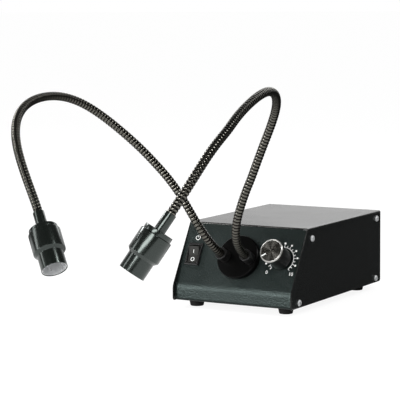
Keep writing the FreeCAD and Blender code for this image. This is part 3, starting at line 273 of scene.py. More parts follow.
@dataclass(frozen=True)
class Finish:
    """One procedural finish, named for the real material.

    The grain size is in millimetres, and the colour is what a photograph of it shows in plain light.
    """

    name: str
    colour: str
    grain: Grain
    roughness: float
    metallic: float = 0.0
    specular: float = 0.5
    grain_size: float = 1.0
    grain_depth: float = 0.02
    unevenness: float = 0.08
    coat: float = 0.0
    anisotropy: float = 0.0
    transmission: float = 0.0
    tint: str = "#ffffff"

    def material(self) -> bpy.types.Material:
        """Make the finish's material on first use.

        Returns:
            The material, which every piece of this finish shares.
        """
        found = bpy.data.materials.get(self.name)
        if found:
            return found
        made = bpy.data.materials.new(self.name)
        made.use_nodes = True
        tree = made.node_tree
        height = self._height(tree)
        bump = add_node(tree, "ShaderNodeBump",
                        {"Strength": 1.0, "Distance": self.grain_depth * MM, "Height": height})
        shader = fit_node(tree.nodes["Principled BSDF"], {
            "Metallic": self.metallic, "Specular IOR Level": self.specular,
            "Specular Tint": linear(self.tint), "Coat Weight": self.coat,
            "Coat Roughness": COAT_ROUGHNESS, "Anisotropic": self.anisotropy,
            "Transmission Weight": self.transmission, "Roughness": self._roughness(tree),
            "Base Color": self._base_colour(tree, height), "Normal": bump,
        })
        if self.transmission:
            fit_node(shader, {"IOR": GLASS_IOR})
        if self.anisotropy:
            tangent = add_node(tree, "ShaderNodeTangent", {"direction_type": "UV_MAP", "uv_map": "UVMap"})
            fit_node(shader, {"Tangent": tangent, "Anisotropic Rotation": ACROSS_LINES})
        return made

    def _height(self, tree: bpy.types.NodeTree) -> bpy.types.Node:
        """Make the surface's relief.

        Args:
            tree: The material's tree.

        Returns:
            The node whose first output is the relief, from 0 to 1.
        """
        detail = NOISE_DETAIL[self.grain]
        if self.grain in TURN_CHANGES:
            place = add_node(tree, "ShaderNodeUVMap", {"uv_map": "UVMap"})
            lines = add_node(tree, "ShaderNodeMapping", {
                "Vector": place, "Scale": (TURN_CHANGES[self.grain], 1.0 / self.grain_size, 1.0)})
            return add_node(tree, "ShaderNodeTexNoise", {
                "Vector": lines, "Scale": 1.0, "Detail": detail, "Roughness": RING_ROUGHNESS})
        place = add_node(tree, "ShaderNodeTexCoord")
        noise = add_node(tree, "ShaderNodeTexNoise", {
            "Vector": place.outputs["Object"], "Scale": 1.0 / (self.grain_size * MM),
            "Detail": detail, "Roughness": GRAIN_ROUGHNESS})
        if self.grain is not Grain.POWDER:
            return noise
        pebbles = add_node(tree, "ShaderNodeValToRGB", {"Fac": noise})
        for k, edge in enumerate(PEBBLE_EDGES):
            pebbles.color_ramp.elements[k].position = edge
        return pebbles

    def _roughness(self, tree: bpy.types.NodeTree) -> bpy.types.Node:
        """Let the gloss drift over the surface.

        Args:
            tree: The material's tree.

        Returns:
            The node whose first output is the roughness.
        """
        place = add_node(tree, "ShaderNodeTexCoord")
        patches = add_node(tree, "ShaderNodeTexNoise", {
            "Vector": place.outputs["Object"], "Scale": PATCHES_PER_METRE, "Detail": 3.0})
        spread = self.roughness * self.unevenness
        low, high = PATCH_LEVELS
        return add_node(tree, "ShaderNodeMapRange", {
            "Value": patches, "From Min": low, "From Max": high,
            "To Min": max(LEAST_ROUGHNESS, self.roughness - spread),
            "To Max": min(1.0, self.roughness + spread)})

    def _base_colour(self, tree: bpy.types.NodeTree, height: bpy.types.Node) -> bpy.types.NodeSocket:
        """Let the colour follow the relief, and paint shade into a coil's grooves.

        Args:
            tree: The material's tree.
            height: The node whose first output is the relief.

        Returns:
            The socket that carries the colour.
        """
        low, share = 1 - self.unevenness, height
        # A coil's grooves take painted shade, a few hundredths of its colour, so that only the crests stay bright
        if self.grain is Grain.COILED:
            crest = add_node(tree, "ShaderNodeAttribute", {"attribute_name": "crest"})
            low = GROOVE_PAINTED_SHADE
            share = add_node(tree, "ShaderNodeMath",
                             {"operation": "POWER", 0: crest.outputs["Fac"], 1: CREST_POWER})
        mix = add_node(tree, "ShaderNodeMix", {
            "data_type": "RGBA", 0: share, 6: self._shade(low), 7: self._shade(1 + self.unevenness)})
        return mix.outputs[2]

    def _shade(self, factor: float) -> tuple[float, ...]:
        """Return the colour times a factor, in linear light with a full alpha."""
        return tuple(min(1.0, c * factor) for c in linear(self.colour)[:3]) + (1.0,)


# Powder coat: a dull, faintly pebbled black skin, drawn as 1.2 mm lumps so that they show
CRINKLE_PAINT = Finish("black_powder_coat_crinkle", "#0e1312", Grain.POWDER, 0.34, grain_size=1.2,
                       grain_depth=0.09, unevenness=0.16, tint="#e6fffb")
# Smooth powder coat: the same black with a finer skin, which mirrors pale things at a low angle
SMOOTH_PAINT = Finish("black_powder_coat_smooth", "#151717", Grain.POWDER, 0.26, grain_size=0.5,
                      grain_depth=0.005, unevenness=0.05, tint="#fffefa")
# Black anodised aluminium: deep black with soft turning lines that streak its highlights
ANODISED = Finish("black_anodised_aluminium", "#0e110f", Grain.TURNED, 0.20, specular=0.75,
                  grain_size=0.35, grain_depth=0.001, coat=0.25, tint="#eefff8")
# Satin anodised aluminium: turned, then etched before its dye, a black that hardly shines
SATIN_ANODISED = Finish("satin_black_anodised_aluminium", "#040404", Grain.TURNED, 0.28, specular=0.1,
                        grain_size=0.4, grain_depth=0.004)
# Black oxide steel strip: rolled, wound and blackened metal whose turns each catch a point of light; the grooves
# between its turns carry painted shade
OXIDE_STEEL = Finish("black_oxide_steel_strip", "#716f68", Grain.COILED, 0.22, metallic=1.0,
                     grain_size=0.8, grain_depth=0.01, unevenness=0.12)
# Spun aluminium: bright metal whose circular lines turn a lamp into two wedges
SPUN_ALUMINIUM = Finish("spun_aluminium", "#8e8c86", Grain.SPUN, 0.22, metallic=1.0,
                        grain_size=0.12, grain_depth=0.0006, anisotropy=0.9)
# Diamond-cut aluminium: the cap's bevelled edge, a paler, partly matt copy of the cap's aluminium whose even pale ring
# is a painted highlight
DIAMOND_CUT_PAINTED_HIGHLIGHT = Finish("diamond_cut_edge_painted_highlight", "#c2c1bd", Grain.TURNED, 0.36, metallic=0.85,
                     grain_size=0.3, grain_depth=0.0005)
# Bright aluminium: turned and lightly etched, pale metal that scatters light as much as it mirrors it
BRIGHT_ALUMINIUM = Finish("bright_aluminium_liner", "#f0f1f2", Grain.TURNED, 0.28, metallic=0.55,
                          grain_size=0.8, grain_depth=0.01)
# Extruded aluminium: left as pressed, a plain grey metal with a soft, slightly streaked gloss
PLAIN_ALUMINIUM = Finish("extruded_aluminium", "#a9abad", Grain.DRAWN, 0.42, metallic=1.0,
                         grain_size=0.6, grain_depth=0.01)
# Satin zinc plate: small pale screws that scatter light, so that they show on a dark side
ZINC = Finish("zinc_plated_steel", "#dfe1e2", Grain.DRAWN, 0.40, metallic=0.5, grain_size=0.5,
              grain_depth=0.006)
# Rolled steel: the grey of shafts, nuts and cans, with a fine uneven gloss
STEEL = Finish("rolled_steel", "#8f9092", Grain.DRAWN, 0.36, metallic=1.0, grain_size=0.5,
               grain_depth=0.008)
# Drawn brass: warm yellow pins with a clean gloss
BRASS = Finish("drawn_brass", "#c7a560", Grain.DRAWN, 0.28, metallic=1.0, grain_size=0.5,
               grain_depth=0.006)
# Moulded ABS: smooth black with a faint orange-peel skin
BLACK_ABS = Finish("moulded_black_abs", "#151515", Grain.MOULDED, 0.33, specular=0.45,
                   grain_size=0.9, grain_depth=0.01)
# Rocker plastic: ABS moulded in an etched tool, which leaves a satin face; its dark grey, paler than the black ABS, is
# a painted reflection
PADDLE_ABS_PAINTED_REFLECTION = Finish("satin_grey_abs_painted_reflection", "#262624", Grain.MOULDED, 0.5, specular=0.2,
                    grain_size=0.9, grain_depth=0.008)
# Moulded rubber: dull black with a fine uneven bloom
RUBBER = Finish("black_rubber", "#141414", Grain.MOULDED, 0.72, specular=0.3, grain_size=0.4,
                grain_depth=0.02, unevenness=0.18)
# Screen-printed ink: thin, even and white
WHITE_INK = Finish("white_screen_ink", "#eceeec", Grain.PRINTED, 0.5, grain_size=0.3,
                   grain_depth=0.003, unevenness=0.04)
# Ground optical glass: clear, with sharp reflections and hardly any relief
GLASS = Finish("optical_glass", "#f4f8f8", Grain.MOULDED, 0.04, grain_size=4.0, grain_depth=0.001,
               unevenness=0.02, transmission=1.0)
# Glass fibre bundle: drawn fibres under a thin sleeve, a dull cream with a fine grain
FIBRE = Finish("glass_fibre_bundle", "#c9c6b8", Grain.DRAWN, 0.45, grain_size=0.3, grain_depth=0.02)
# Solder mask: lacquer over a circuit board, an even green with a soft gloss
SOLDER_MASK = Finish("green_solder_mask", "#1f6a3c", Grain.MOULDED, 0.35, grain_size=1.4,
                     grain_depth=0.01)
# Moulded nylon: the posts' waxy cream
NYLON = Finish("natural_nylon", "#dcd6c4", Grain.MOULDED, 0.45, grain_size=0.8, grain_depth=0.01)
# Braided sleeve: polyester threads over the wiring, a dull dark grey with a rough grain
SLEEVE = Finish("braided_polyester_sleeve", "#2c2d30", Grain.DRAWN, 0.7, grain_size=0.5,
                grain_depth=0.05, unevenness=0.25)


# Meshes

def rounded(outline: Sequence[Point2], radius: float) -> list[Point2]:
    """Round the corners of a closed outline, except those on the turning axis.

    Args:
        outline: Corners in order, as (radius, height).
        radius: The largest corner radius.

    Returns:
        The outline with each corner as a short arc.
    """
    made: list[Point2] = []
    for k, corner in enumerate(outline):
        here = Vector(corner)
        before = Vector(outline[k - 1]) - here
        after = Vector(outline[(k + 1) % len(outline)]) - here
        if corner[0] < NOTHING or radius <= 0:
            made.append(corner)
            continue
        reach = min(radius / math.tan(before.angle(after) / 2), CORNER_SHARE * before.length,
                    CORNER_SHARE * after.length)
        start = here + before.normalized() * reach
        end = here + after.normalized() * reach
        for step in range(CORNER_STEPS + 1):
            t = step / CORNER_STEPS
            point = start * (1 - t) ** 2 + here * (2 * t * (1 - t)) + end * t ** 2
            made.append((point.x, point.y))
    return made


def drafted(draft: bmesh.types.BMesh, name: str, outwards: bool = True) -> bpy.types.Mesh:
    """Turn a draft into a mesh.

    Args:
        draft: The draft, which is used up.
        name: The mesh's name.
        outwards: Whether its faces still have to be turned outwards.

    Returns:
        The mesh.
    """
    if outwards:
        bmesh.ops.recalc_face_normals(draft, faces=draft.faces)
    mesh = bpy.data.meshes.new(name)
    draft.to_mesh(mesh)
    draft.free()
    return mesh


def level_edges(draft: bmesh.types.BMesh, axis: int) -> list[bmesh.types.BMEdge]:
    """Return a draft's edges that lie square to an axis, 0 for X or 2 for Z."""
    return [e for e in draft.edges if abs(e.verts[0].co[axis] - e.verts[1].co[axis]) < NOTHING]


def soften(draft: bmesh.types.BMesh, edges: Iterable[bmesh.types.BMEdge], radius: float, steps: int) -> None:
    """Round some edges of a draft over a number of steps."""
    bmesh.ops.bevel(draft, geom=list(edges), offset=radius, segments=steps, profile=0.5, affect="EDGES")


def thicken(draft: bmesh.types.BMesh, way: tuple[float, float, float]) -> None:
    """Grow a draft's flat faces into a solid.

    Args:
        draft: The draft, which has only those faces.
        way: How far, and which way, their copy is pushed out.
    """
    grown = bmesh.ops.extrude_face_region(draft, geom=list(draft.faces))
    moved = [g for g in grown["geom"] if isinstance(g, bmesh.types.BMVert)]
    bmesh.ops.translate(draft, vec=way, verts=moved)


def lathe(outline: Sequence[Point2], corner: float, segments: int = ROUND_SEGMENTS) -> bpy.types.Mesh:
    """Turn a closed outline about the local Z axis.

    Args:
        outline: Corners in order, as (radius, height) in millimetres.
        corner: The radius that softens each corner.
        segments: How many steps a full turn has.

    Returns:
        A mesh whose UV map holds the turn as U and the way along the outline, in millimetres, as V.
    """
    ring = rounded(outline, corner)
    turns = [2 * math.pi * s / segments for s in range(segments)]
    draft = bmesh.new()
    uv_layer = draft.loops.layers.uv.new("UVMap")
    rows, way = [], [0.0]
    for k, (radius, height) in enumerate(ring):
        if radius < NOTHING:
            rows.append([draft.verts.new((0, 0, height))] * segments)
        else:
            rows.append([draft.verts.new((radius * math.cos(a), radius * math.sin(a), height))
                         for a in turns])
        way.append(way[-1] + math.dist((radius, height), ring[(k + 1) % len(ring)]))
    for k in range(len(ring)):
        low, high = rows[k], rows[(k + 1) % len(ring)]
        for s in range(segments):
            t = (s + 1) % segments
            corners = [(low[s], s, way[k]), (low[t], s + 1, way[k]),
                       (high[t], s + 1, way[k + 1]), (high[s], s, way[k + 1])]
            unique = [c for i, c in enumerate(corners) if c[0] not in [d[0] for d in corners[:i]]]
            if len(unique) < 3:
                continue
            face = draft.faces.new([c[0] for c in unique])
            for loop, (_, turn, along) in zip(face.loops, unique):
                loop[uv_layer].uv = (turn / segments, along)
    return drafted(draft, "lathe")


def slab(width: float, depth: float, low: float, high: float, edge: float) -> bpy.types.Mesh:
    """Make a flat block with softened edges above and below.

    Args:
        width: Size along X.
        depth: Size along Y.
        low: Height of its underside.
        high: Height of its top.
        edge: Radius of its top and bottom edges.

    Returns:
        The block, centred on the local Z axis.
    """
    draft = bmesh.new()
    bmesh.ops.create_cube(draft, size=1.0)
    bmesh.ops.scale(draft, vec=(width, depth, high - low), verts=draft.verts)
    bmesh.ops.translate(draft, vec=(0, 0, (low + high) / 2), verts=draft.verts)
    soften(draft, level_edges(draft, 2), edge, steps=3)
    return drafted(draft, "slab")


def stroke(points: Sequence[Point2], width: float, height: float, closed: bool = False) -> bpy.types.Mesh:
    """Draw a flat line of ink along some points.

    Args:
        points: The line's middle, as (x, y) in millimetres.
        width: The line's width.
        height: How thick the ink is.
        closed: Whether the last point joins the first.

    Returns:
        A thin closed solid on the local plane Z = 0.
    """
    draft = bmesh.new()
    count = len(points)
    left, right = [], []
    for k in range(count):
        before = Vector(points[(k - 1) % count if closed else max(k - 1, 0)])
        after = Vector(points[(k + 1) % count if closed else min(k + 1, count - 1)])
        along = (after - before).normalized()
        side = Vector((-along.y, along.x)) * width / 2
        here = Vector(points[k])
        left.append(draft.verts.new((*(here + side), 0)))
        right.append(draft.verts.new((*(here - side), 0)))
    for k in range(count if closed else count - 1):
        n = (k + 1) % count
        draft.faces.new((left[k], right[k], right[n], left[n]))
    thicken(draft, (0, 0, height))
    return drafted(draft, "stroke")


def arc_points(radius: float, start: float, end: float, steps: int = 40) -> list[Point2]:
    """Return points along an arc about the origin, with angles in degrees."""
    turns = [math.radians(start + (end - start) * k / steps) for k in range(steps + 1)]
    return [(radius * math.cos(a), radius * math.sin(a)) for a in turns]


def path_mesh(points: Iterable[Sequence[float]]) -> bpy.types.Mesh:
    """Join points in order by loose edges.

    Args:
        points: The points, each as (x, y, z).

    Returns:
        A mesh without faces.
    """
    corners = [tuple(p) for p in points]
    mesh = bpy.data.meshes.new("path")
    mesh.from_pydata(corners, [(k, k + 1) for k in range(len(corners) - 1)], [])
    return mesh


def joined(meshes: Iterable[tuple[bpy.types.Mesh, Matrix]]) -> bpy.types.Mesh:
    """Join meshes into one.

    Args:
        meshes: Each mesh, which is used up, with its own placement.

    Returns:
        The one mesh.
    """
    draft = bmesh.new()
    for mesh, placement in meshes:
        mesh.transform(placement)
        draft.from_mesh(mesh)
        bpy.data.meshes.remove(mesh)
    return drafted(draft, "joined", outwards=False)


# Objects

def placement_at(point: Vector, x_axis: Vector, z_axis: Vector) -> Matrix:
    """Return the matrix from a local frame in millimetres to the model's frame in metres.

    Args:
        point: The local origin, in millimetres in the case's frame.
        x_axis: The way near which the local X axis points.
        z_axis: The way of the local Z axis.

    Returns:
        A 4 by 4 matrix that also scales to metres.
    """
    up = z_axis.normalized()
    side = (x_axis - up * x_axis.dot(up)).normalized()
    turn = Matrix((side, up.cross(side), up)).transposed().to_4x4()
    return Matrix.Scale(MM, 4) @ Matrix.Translation(point + CASE_OFFSET) @ turn


def linked(name: str, data: bpy.types.ID) -> bpy.types.Object:
    """Return a new object of the scene that holds some data."""
    thing = bpy.data.objects.new(name, data)
    bpy.context.scene.collection.objects.link(thing)
    return thing


def settled(host: bpy.types.Object) -> bpy.types.Mesh:
    """Take the shape that an object's modifiers or curve give it.

    Args:
        host: The object, which is removed.

    Returns:
        The shape as a plain mesh.
    """
    bpy.context.view_layer.update()
    mesh = bpy.data.meshes.new_from_object(host.evaluated_get(bpy.context.evaluated_depsgraph_get()))
    host.modifiers.clear()
    bpy.data.objects.remove(host)
    return mesh


def shaped(name: str, mesh: bpy.types.Mesh, placement: Matrix, finish: Finish) -> bpy.types.Object:
    """Place a mesh and dress it.

    Args:
        name: The piece's name.
        mesh: The piece in its local frame.
        placement: The matrix that carries it to the model's frame.
        finish: What it is made of.

    Returns:
        The piece, at the origin, which rides on nothing yet.
    """
    mesh.transform(placement)
    mesh.name = name
    mesh.shade_smooth()
    mesh.set_sharp_from_angle(angle=SMOOTH_ANGLE)
    mesh.materials.clear()
    mesh.materials.append(finish.material())
    LOG.info("piece %s: %d faces of %s", name, len(mesh.polygons), finish.name)
    return linked(name, mesh)


def stand_in(piece: bpy.types.Object, node: str, slot: str) -> None:
    """Say what a piece stands for.

    Args:
        piece: The piece.
        node: The model's node that it replaces, or nothing.
        slot: The record's material slot, or nothing.
    """
    if node:
        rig.replaces(piece, node)
    if slot:
        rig.slot(piece, slot)


def finished(name: str, mesh: bpy.types.Mesh, placement: Matrix, finish: Finish, body: str,
             node: str = "", slot: str = "") -> bpy.types.Object:
    """Place a mesh, dress it and let it ride on a body.

    Args:
        name: The piece's name.
        mesh: The piece in its local frame.
        placement: The matrix that carries it to the model's frame.
        finish: What it is made of.
        body: The moving body that it rides on.
        node: The model's node that it replaces.
        slot: The record's material slot.

    Returns:
        The finished object, at the origin.
    """
    piece = shaped(name, mesh, placement, finish)
    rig.ride(piece, body)
    stand_in(piece, node, slot)
    return piece


def refined(node: str, finish: Finish, bevel: float = 0.0) -> None:
    """Stand a smooth-shaded copy with softened edges in for one of the model's nodes.

    Args:
        node: The node's name.
        finish: What it is made of.
        bevel: Width of its softened edges in millimetres, or 0 for none.
    """
    source = frame["nodes"][node]
    draft = bmesh.new()
    draft.from_mesh(source.data)
    bmesh.ops.remove_doubles(draft, verts=draft.verts, dist=WELD * MM)
    if bevel > 0:
        bmesh.ops.dissolve_limit(draft, angle_limit=FLAT_ANGLE, verts=draft.verts, edges=draft.edges)
    name = node + "_dressed"
    piece = finished(name, drafted(draft, name, outwards=False), UNMOVED, finish, source["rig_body"], node)
    if bevel > 0:
        softening = piece.modifiers.new("softened_edges", "BEVEL")
        softening.width = bevel * MM
        softening.segments = 2
        softening.limit_method = "ANGLE"
        softening.angle_limit = SOFTENED_ANGLE
        softening.harden_normals = False


def dress(node: str, finish: Finish) -> None:
    """Give one of the model's own nodes its finish.

    Args:
        node: The node's name.
        finish: What it is made of.
    """
    materials = frame["nodes"][node].data.materials
    materials.clear()
    materials.append(finish.material())
    LOG.info("node %s: %s", node, finish.name)


# Geometry Nodes

class GrowthTree:
    """A Geometry Nodes tree with named inputs, and the means to grow a mesh from it."""

    def __init__(self, name: str, inputs: dict[str, tuple[str, Any]]) -> None:
        """Start a tree.

        Args:
            name: The tree's name.
            inputs: Each input's kind, such as Float, and its value, under its name.
        """
        self.tree = bpy.data.node_groups.new(name, "GeometryNodeTree")
        sockets = self.tree.interface
        for way in ("INPUT", "OUTPUT"):
            sockets.new_socket("Geometry", in_out=way, socket_type="NodeSocketGeometry")
        self.values = {}
        for label, (kind, value) in inputs.items():
            socket = sockets.new_socket(label, in_out="INPUT", socket_type="NodeSocket" + kind)
            self.values[socket.identifier] = value
        self.given = self.tree.nodes.new("NodeGroupInput").outputs

    def add(self, kind: str, settings: Settings | None = None) -> bpy.types.Node:
        """Add a node to the tree, as add_node does, and return it."""
        return add_node(self.tree, kind, settings)

    def finish_with(self, geometry: bpy.types.Node) -> None:
        """End the tree: instances made real, and the given material set."""
        real = self.add("GeometryNodeRealizeInstances", {"Geometry": geometry})
        coated = self.add("GeometryNodeSetMaterial", {"Geometry": real, "Material": self.given["Material"]})
        self.add("NodeGroupOutput", {0: coated})

    def grow(self, base: bpy.types.Mesh) -> bpy.types.Mesh:
        """Run the tree on a mesh.

        Args:
            base: The mesh that the tree is given.

        Returns:
            What the tree makes of it, as a plain mesh.
        """
        host = linked("growing", base)
        modifier = host.modifiers.new("grow", "NODES")
        modifier.node_group = self.tree
        for identifier, value in self.values.items():
            modifier[identifier] = value
        return settled(host)


# Places on the case

@dataclass
class Panel:
    """The sloping control panel: x runs across it, s up its slope and h out of it."""

    foot: Vector = field(default_factory=lambda: Vector((0.0, -91.0, 19.5)))
    setback: float = 28.5
    rise: float = 54.5

    @property
    def up(self) -> Vector:
        """The way up the slope."""
        return Vector((0, self.setback, self.rise)).normalized()

    @property
    def out(self) -> Vector:
        """The way out of the panel."""
        return Vector((0, -self.rise, self.setback)).normalized()

    def point(self, x: float, s: float, h: float = 0.0) -> Vector:
        """Return a point of the panel in the case's frame, in millimetres."""
        return self.foot + Vector((x, 0, 0)) + self.up * s + self.out * h

    def place(self, x: float, s: float, h: float = 0.0) -> Matrix:
        """Return the placement of a piece that stands on the panel."""
        return placement_at(self.point(x, s, h), Vector((1, 0, 0)), self.out)


@dataclass
class LightPort:
    """The round black port and the two sleeves that hold the necks."""

    panel: Panel
    s: float = 29.5
    radius: float = 20.0
    thickness: float = 5.5
    chamfer: float = 0.8
    boss: float = 17.4
    boss_length: float = 11.5
    corner: float = 0.15
    socket_x: float = 12.2
    socket_s: float = 28.5
    sleeve: float = 5.5
    sleeve_top: float = 14.5
    sleeve_depth: float = 8.0
    sleeve_sunk: float = 0.5
    sleeve_corner: float = 0.4
    sleeve_segments: int = 64
    stop_width: float = 0.9

    def build(self) -> None:
        """Make the disc and its sleeves."""
        disc = lathe([
            (0, self.thickness), (self.radius - self.chamfer, self.thickness),
            (self.radius, self.thickness - self.chamfer), (self.radius, 0), (self.boss, 0),
            (self.boss, -self.boss_length), (0, -self.boss_length),
        ], self.corner)
        finished("port_disc", disc, self.panel.place(0, self.s), SATIN_ANODISED, "case", "light_port",
                 "black_anodised")
        foot = self.thickness - self.sleeve_sunk
        stop = self.sleeve_top - self.sleeve_depth
        stop_bore = NECK_BORE - self.stop_width
        outline = [
            (NECK_BORE, self.sleeve_top), (self.sleeve, self.sleeve_top), (self.sleeve, foot),
            (stop_bore, foot), (stop_bore, stop), (NECK_BORE, stop),
        ]
        sleeves = [(lathe(outline, self.sleeve_corner, self.sleeve_segments),
                    self.panel.place(x, self.socket_s)) for x in (-self.socket_x, self.socket_x)]
        finished("neck_sleeves", joined(sleeves), UNMOVED, BLACK_ABS, "case", "neck_sockets", "socket_black")


# Necks and heads

class Side(Enum):
    """Which of the two light guides."""

    LEFT = "left"
    RIGHT = "right"


@dataclass
class NeckRoute:
    """One neck's middle line: a clamped cubic curve from its socket to its head, in millimetres."""

    side: Side
    port: LightPort
    bends: Sequence[Sequence[float]]
    lead: float = 30.0
    samples: int = 1600
    x_way: Vector = field(default_factory=lambda: Vector((1.0, 0.0, 0.4)))

    def __post_init__(self) -> None:
        """Sample the curve and measure the way along it."""
        port = self.port
        x = port.socket_x if self.side is Side.RIGHT else -port.socket_x
        mouth = port.panel.point(x, port.socket_s, port.sleeve_top)
        self.controls = [mouth, mouth + port.panel.out * self.lead] + [Vector(b) for b in self.bends]
        spans = len(self.controls) - 3
        self.points = [self._at(spans * k / self.samples) for k in range(self.samples + 1)]
        self.way = [0.0]
        for here, following in zip(self.points[:-1], self.points[1:]):
            self.way.append(self.way[-1] + (following - here).length)

    @property
    def length(self) -> float:
        """The neck's length from its socket to its ferrule."""
        return self.way[-1]

    def _at(self, t: float) -> Vector:
        """Find a point of the curve by repeated blending of its controls.

        Args:
            t: The knot value, from 0 to the number of spans.

        Returns:
            The point.
        """
        spans = len(self.controls) - 3
        span = min(int(t), spans - 1)
        knots = [min(max(k - 3, 0), spans) for k in range(spans + 7)]
        blend = [self.controls[span + j].copy() for j in range(4)]
        for level in range(1, 4):
            for j in range(3, level - 1, -1):
                low = knots[span + j]
                high = knots[span + j + 4 - level]
                blend[j] = blend[j - 1].lerp(blend[j], (t - low) / (high - low))
        return blend[3]

    def station(self, distance: float) -> tuple[Vector, Vector]:
        """Find a place along the neck, straight on beyond both ends.

        Args:
            distance: The way from the socket.

        Returns:
            The point and the direction there.
        """
        inside = min(max(distance, 0.0), self.length)
        k = min(max(int(self.samples * inside / self.length), 1), self.samples - 1)
        while k > 1 and self.way[k] > inside:
            k -= 1
        while k < self.samples - 1 and self.way[k + 1] < inside:
            k += 1
        direction = (self.points[k + 1] - self.points[k]).normalized()
        return self.points[k] + direction * (distance - self.way[k]), direction

    def metres(self, distance: float) -> Vector:
        """Return the point at a distance in the model's frame, in metres."""
        return (self.station(distance)[0] + CASE_OFFSET) * MM

    def place(self, distance: float) -> Matrix:
        """Return the placement on the path with local Z along it."""
        point, direction = self.station(distance)
        return placement_at(point, self.x_way, direction)


@dataclass
class RibbedNeck:
    """A self-holding neck of wound steel strip, in five lengths that the joints part.

    The real strip turns every 1.75 mm, two pixels of the photograph; here it is drawn coarser, every
    3 mm, so that its turns still part.
    """

    route: NeckRoute
    groove: float = 0.55
    pitch: float = 3.0
    crest_power: float = 0.6
    insertion: float = 4.0
    flex: float = 44.0
    middle_start: float = 150.0
    rib_steps: int = 8
    around: int = 28

    def lengths(self) -> list[tuple[str, float, float, tuple[str, ...]]]:
        """Part the neck at its bends.

        Returns:
            Each length's name, its ends and the bodies that it rides on.
        """
        side = self.route.side.value
        middle_end = self.middle_start + self.flex
        tip_start = self.route.length - self.flex
        lower, upper, head = side + "_lower_arm", side + "_upper_arm", side + "_head"
        return [
            ("root_flex", -self.insertion, self.flex, ("case", lower)),
            ("lower_arm", self.flex, self.middle_start, (lower,)),
            ("middle_flex", self.middle_start, middle_end, (lower, upper)),
            ("upper_arm", middle_end, tip_start, (upper,)),
            ("tip_flex", tip_start, self.route.length + self.insertion, (upper, head)),
        ]

    def tree(self) -> GrowthTree:
        """Make the tree that turns a path into ribbed strip.

        Returns:
            The tree, in metres.
        """
        growth = GrowthTree("ribbed_neck", {
            "Crest radius": ("Float", NECK_RADIUS * MM),
            "Groove depth": ("Float", self.groove * MM),
            "Pitch": ("Float", self.pitch * MM),
            "Steps": ("Int", self.rib_steps),
            "Around": ("Int", self.around),
            "Material": ("Material", OXIDE_STEEL.material()),
        })
        given, add = growth.given, growth.add
        curve = add("GeometryNodeMeshToCurve", {"Mesh": given["Geometry"]})
        length = add("GeometryNodeCurveLength", {"Curve": curve})
        turns = add("ShaderNodeMath", {"operation": "DIVIDE", 0: length, 1: given["Pitch"]})
        ribs = add("ShaderNodeMath", {"operation": "ROUND", 0: turns})
        steps = add("ShaderNodeMath", {"operation": "MULTIPLY_ADD", 0: ribs, 1: given["Steps"], 2: 1.0})
        even = add("GeometryNodeResampleCurve", {"mode": "COUNT", "Curve": curve, "Count": steps})
        along = add("GeometryNodeSplineParameter")
        phase = add("ShaderNodeMath", {"operation": "MULTIPLY", 0: along.outputs["Factor"], 1: ribs})
        part = add("ShaderNodeMath", {"operation": "FRACT", 0: phase})
        wave = add("ShaderNodeMath", {"operation": "MULTIPLY", 0: part, 1: math.pi})
        sine = add("ShaderNodeMath", {"operation": "SINE", 0: wave})
        crest = add("ShaderNodeMath", {"operation": "POWER", 0: sine, 1: self.crest_power})
        named = add("GeometryNodeStoreNamedAttribute", {
            "data_type": "FLOAT", "domain": "POINT", "Name": "crest", "Geometry": even, "Value": crest})
        valley = add("ShaderNodeMath", {
            "operation": "SUBTRACT", 0: given["Crest radius"], 1: given["Groove depth"]})
        radius = add("ShaderNodeMath", {
            "operation": "MULTIPLY_ADD", 0: crest, 1: given["Groove depth"], 2: valley})
        outline = add("GeometryNodeCurvePrimitiveCircle", {
            "mode": "RADIUS", "Radius": 1.0, "Resolution": given["Around"]})
        tube = add("GeometryNodeCurveToMesh", {
            "Curve": named, "Profile Curve": outline, "Scale": radius, "Fill Caps": True})
        growth.finish_with(tube)
        return growth

    def build(self) -> None:
        """Make the five lengths, and let those at a bend follow both of its bodies."""
        growth = self.tree()
        metres = self.route.metres
        for label, start, end, bodies in self.lengths():
            count = math.ceil(end - start)
            path = path_mesh(metres(start + (end - start) * k / count) for k in range(count + 1))
            node = f"{self.route.side.value}_neck_{label}"
            piece = shaped(node + "_strip", growth.grow(path), UNMOVED, OXIDE_STEEL)
            if len(bodies) == 1:
                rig.ride(piece, bodies[0])
            else:
                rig.blend(piece, *bodies, start=metres(max(start, 0.0)),
                         end=metres(min(end, self.route.length)))
            stand_in(piece, node, "neck_steel")


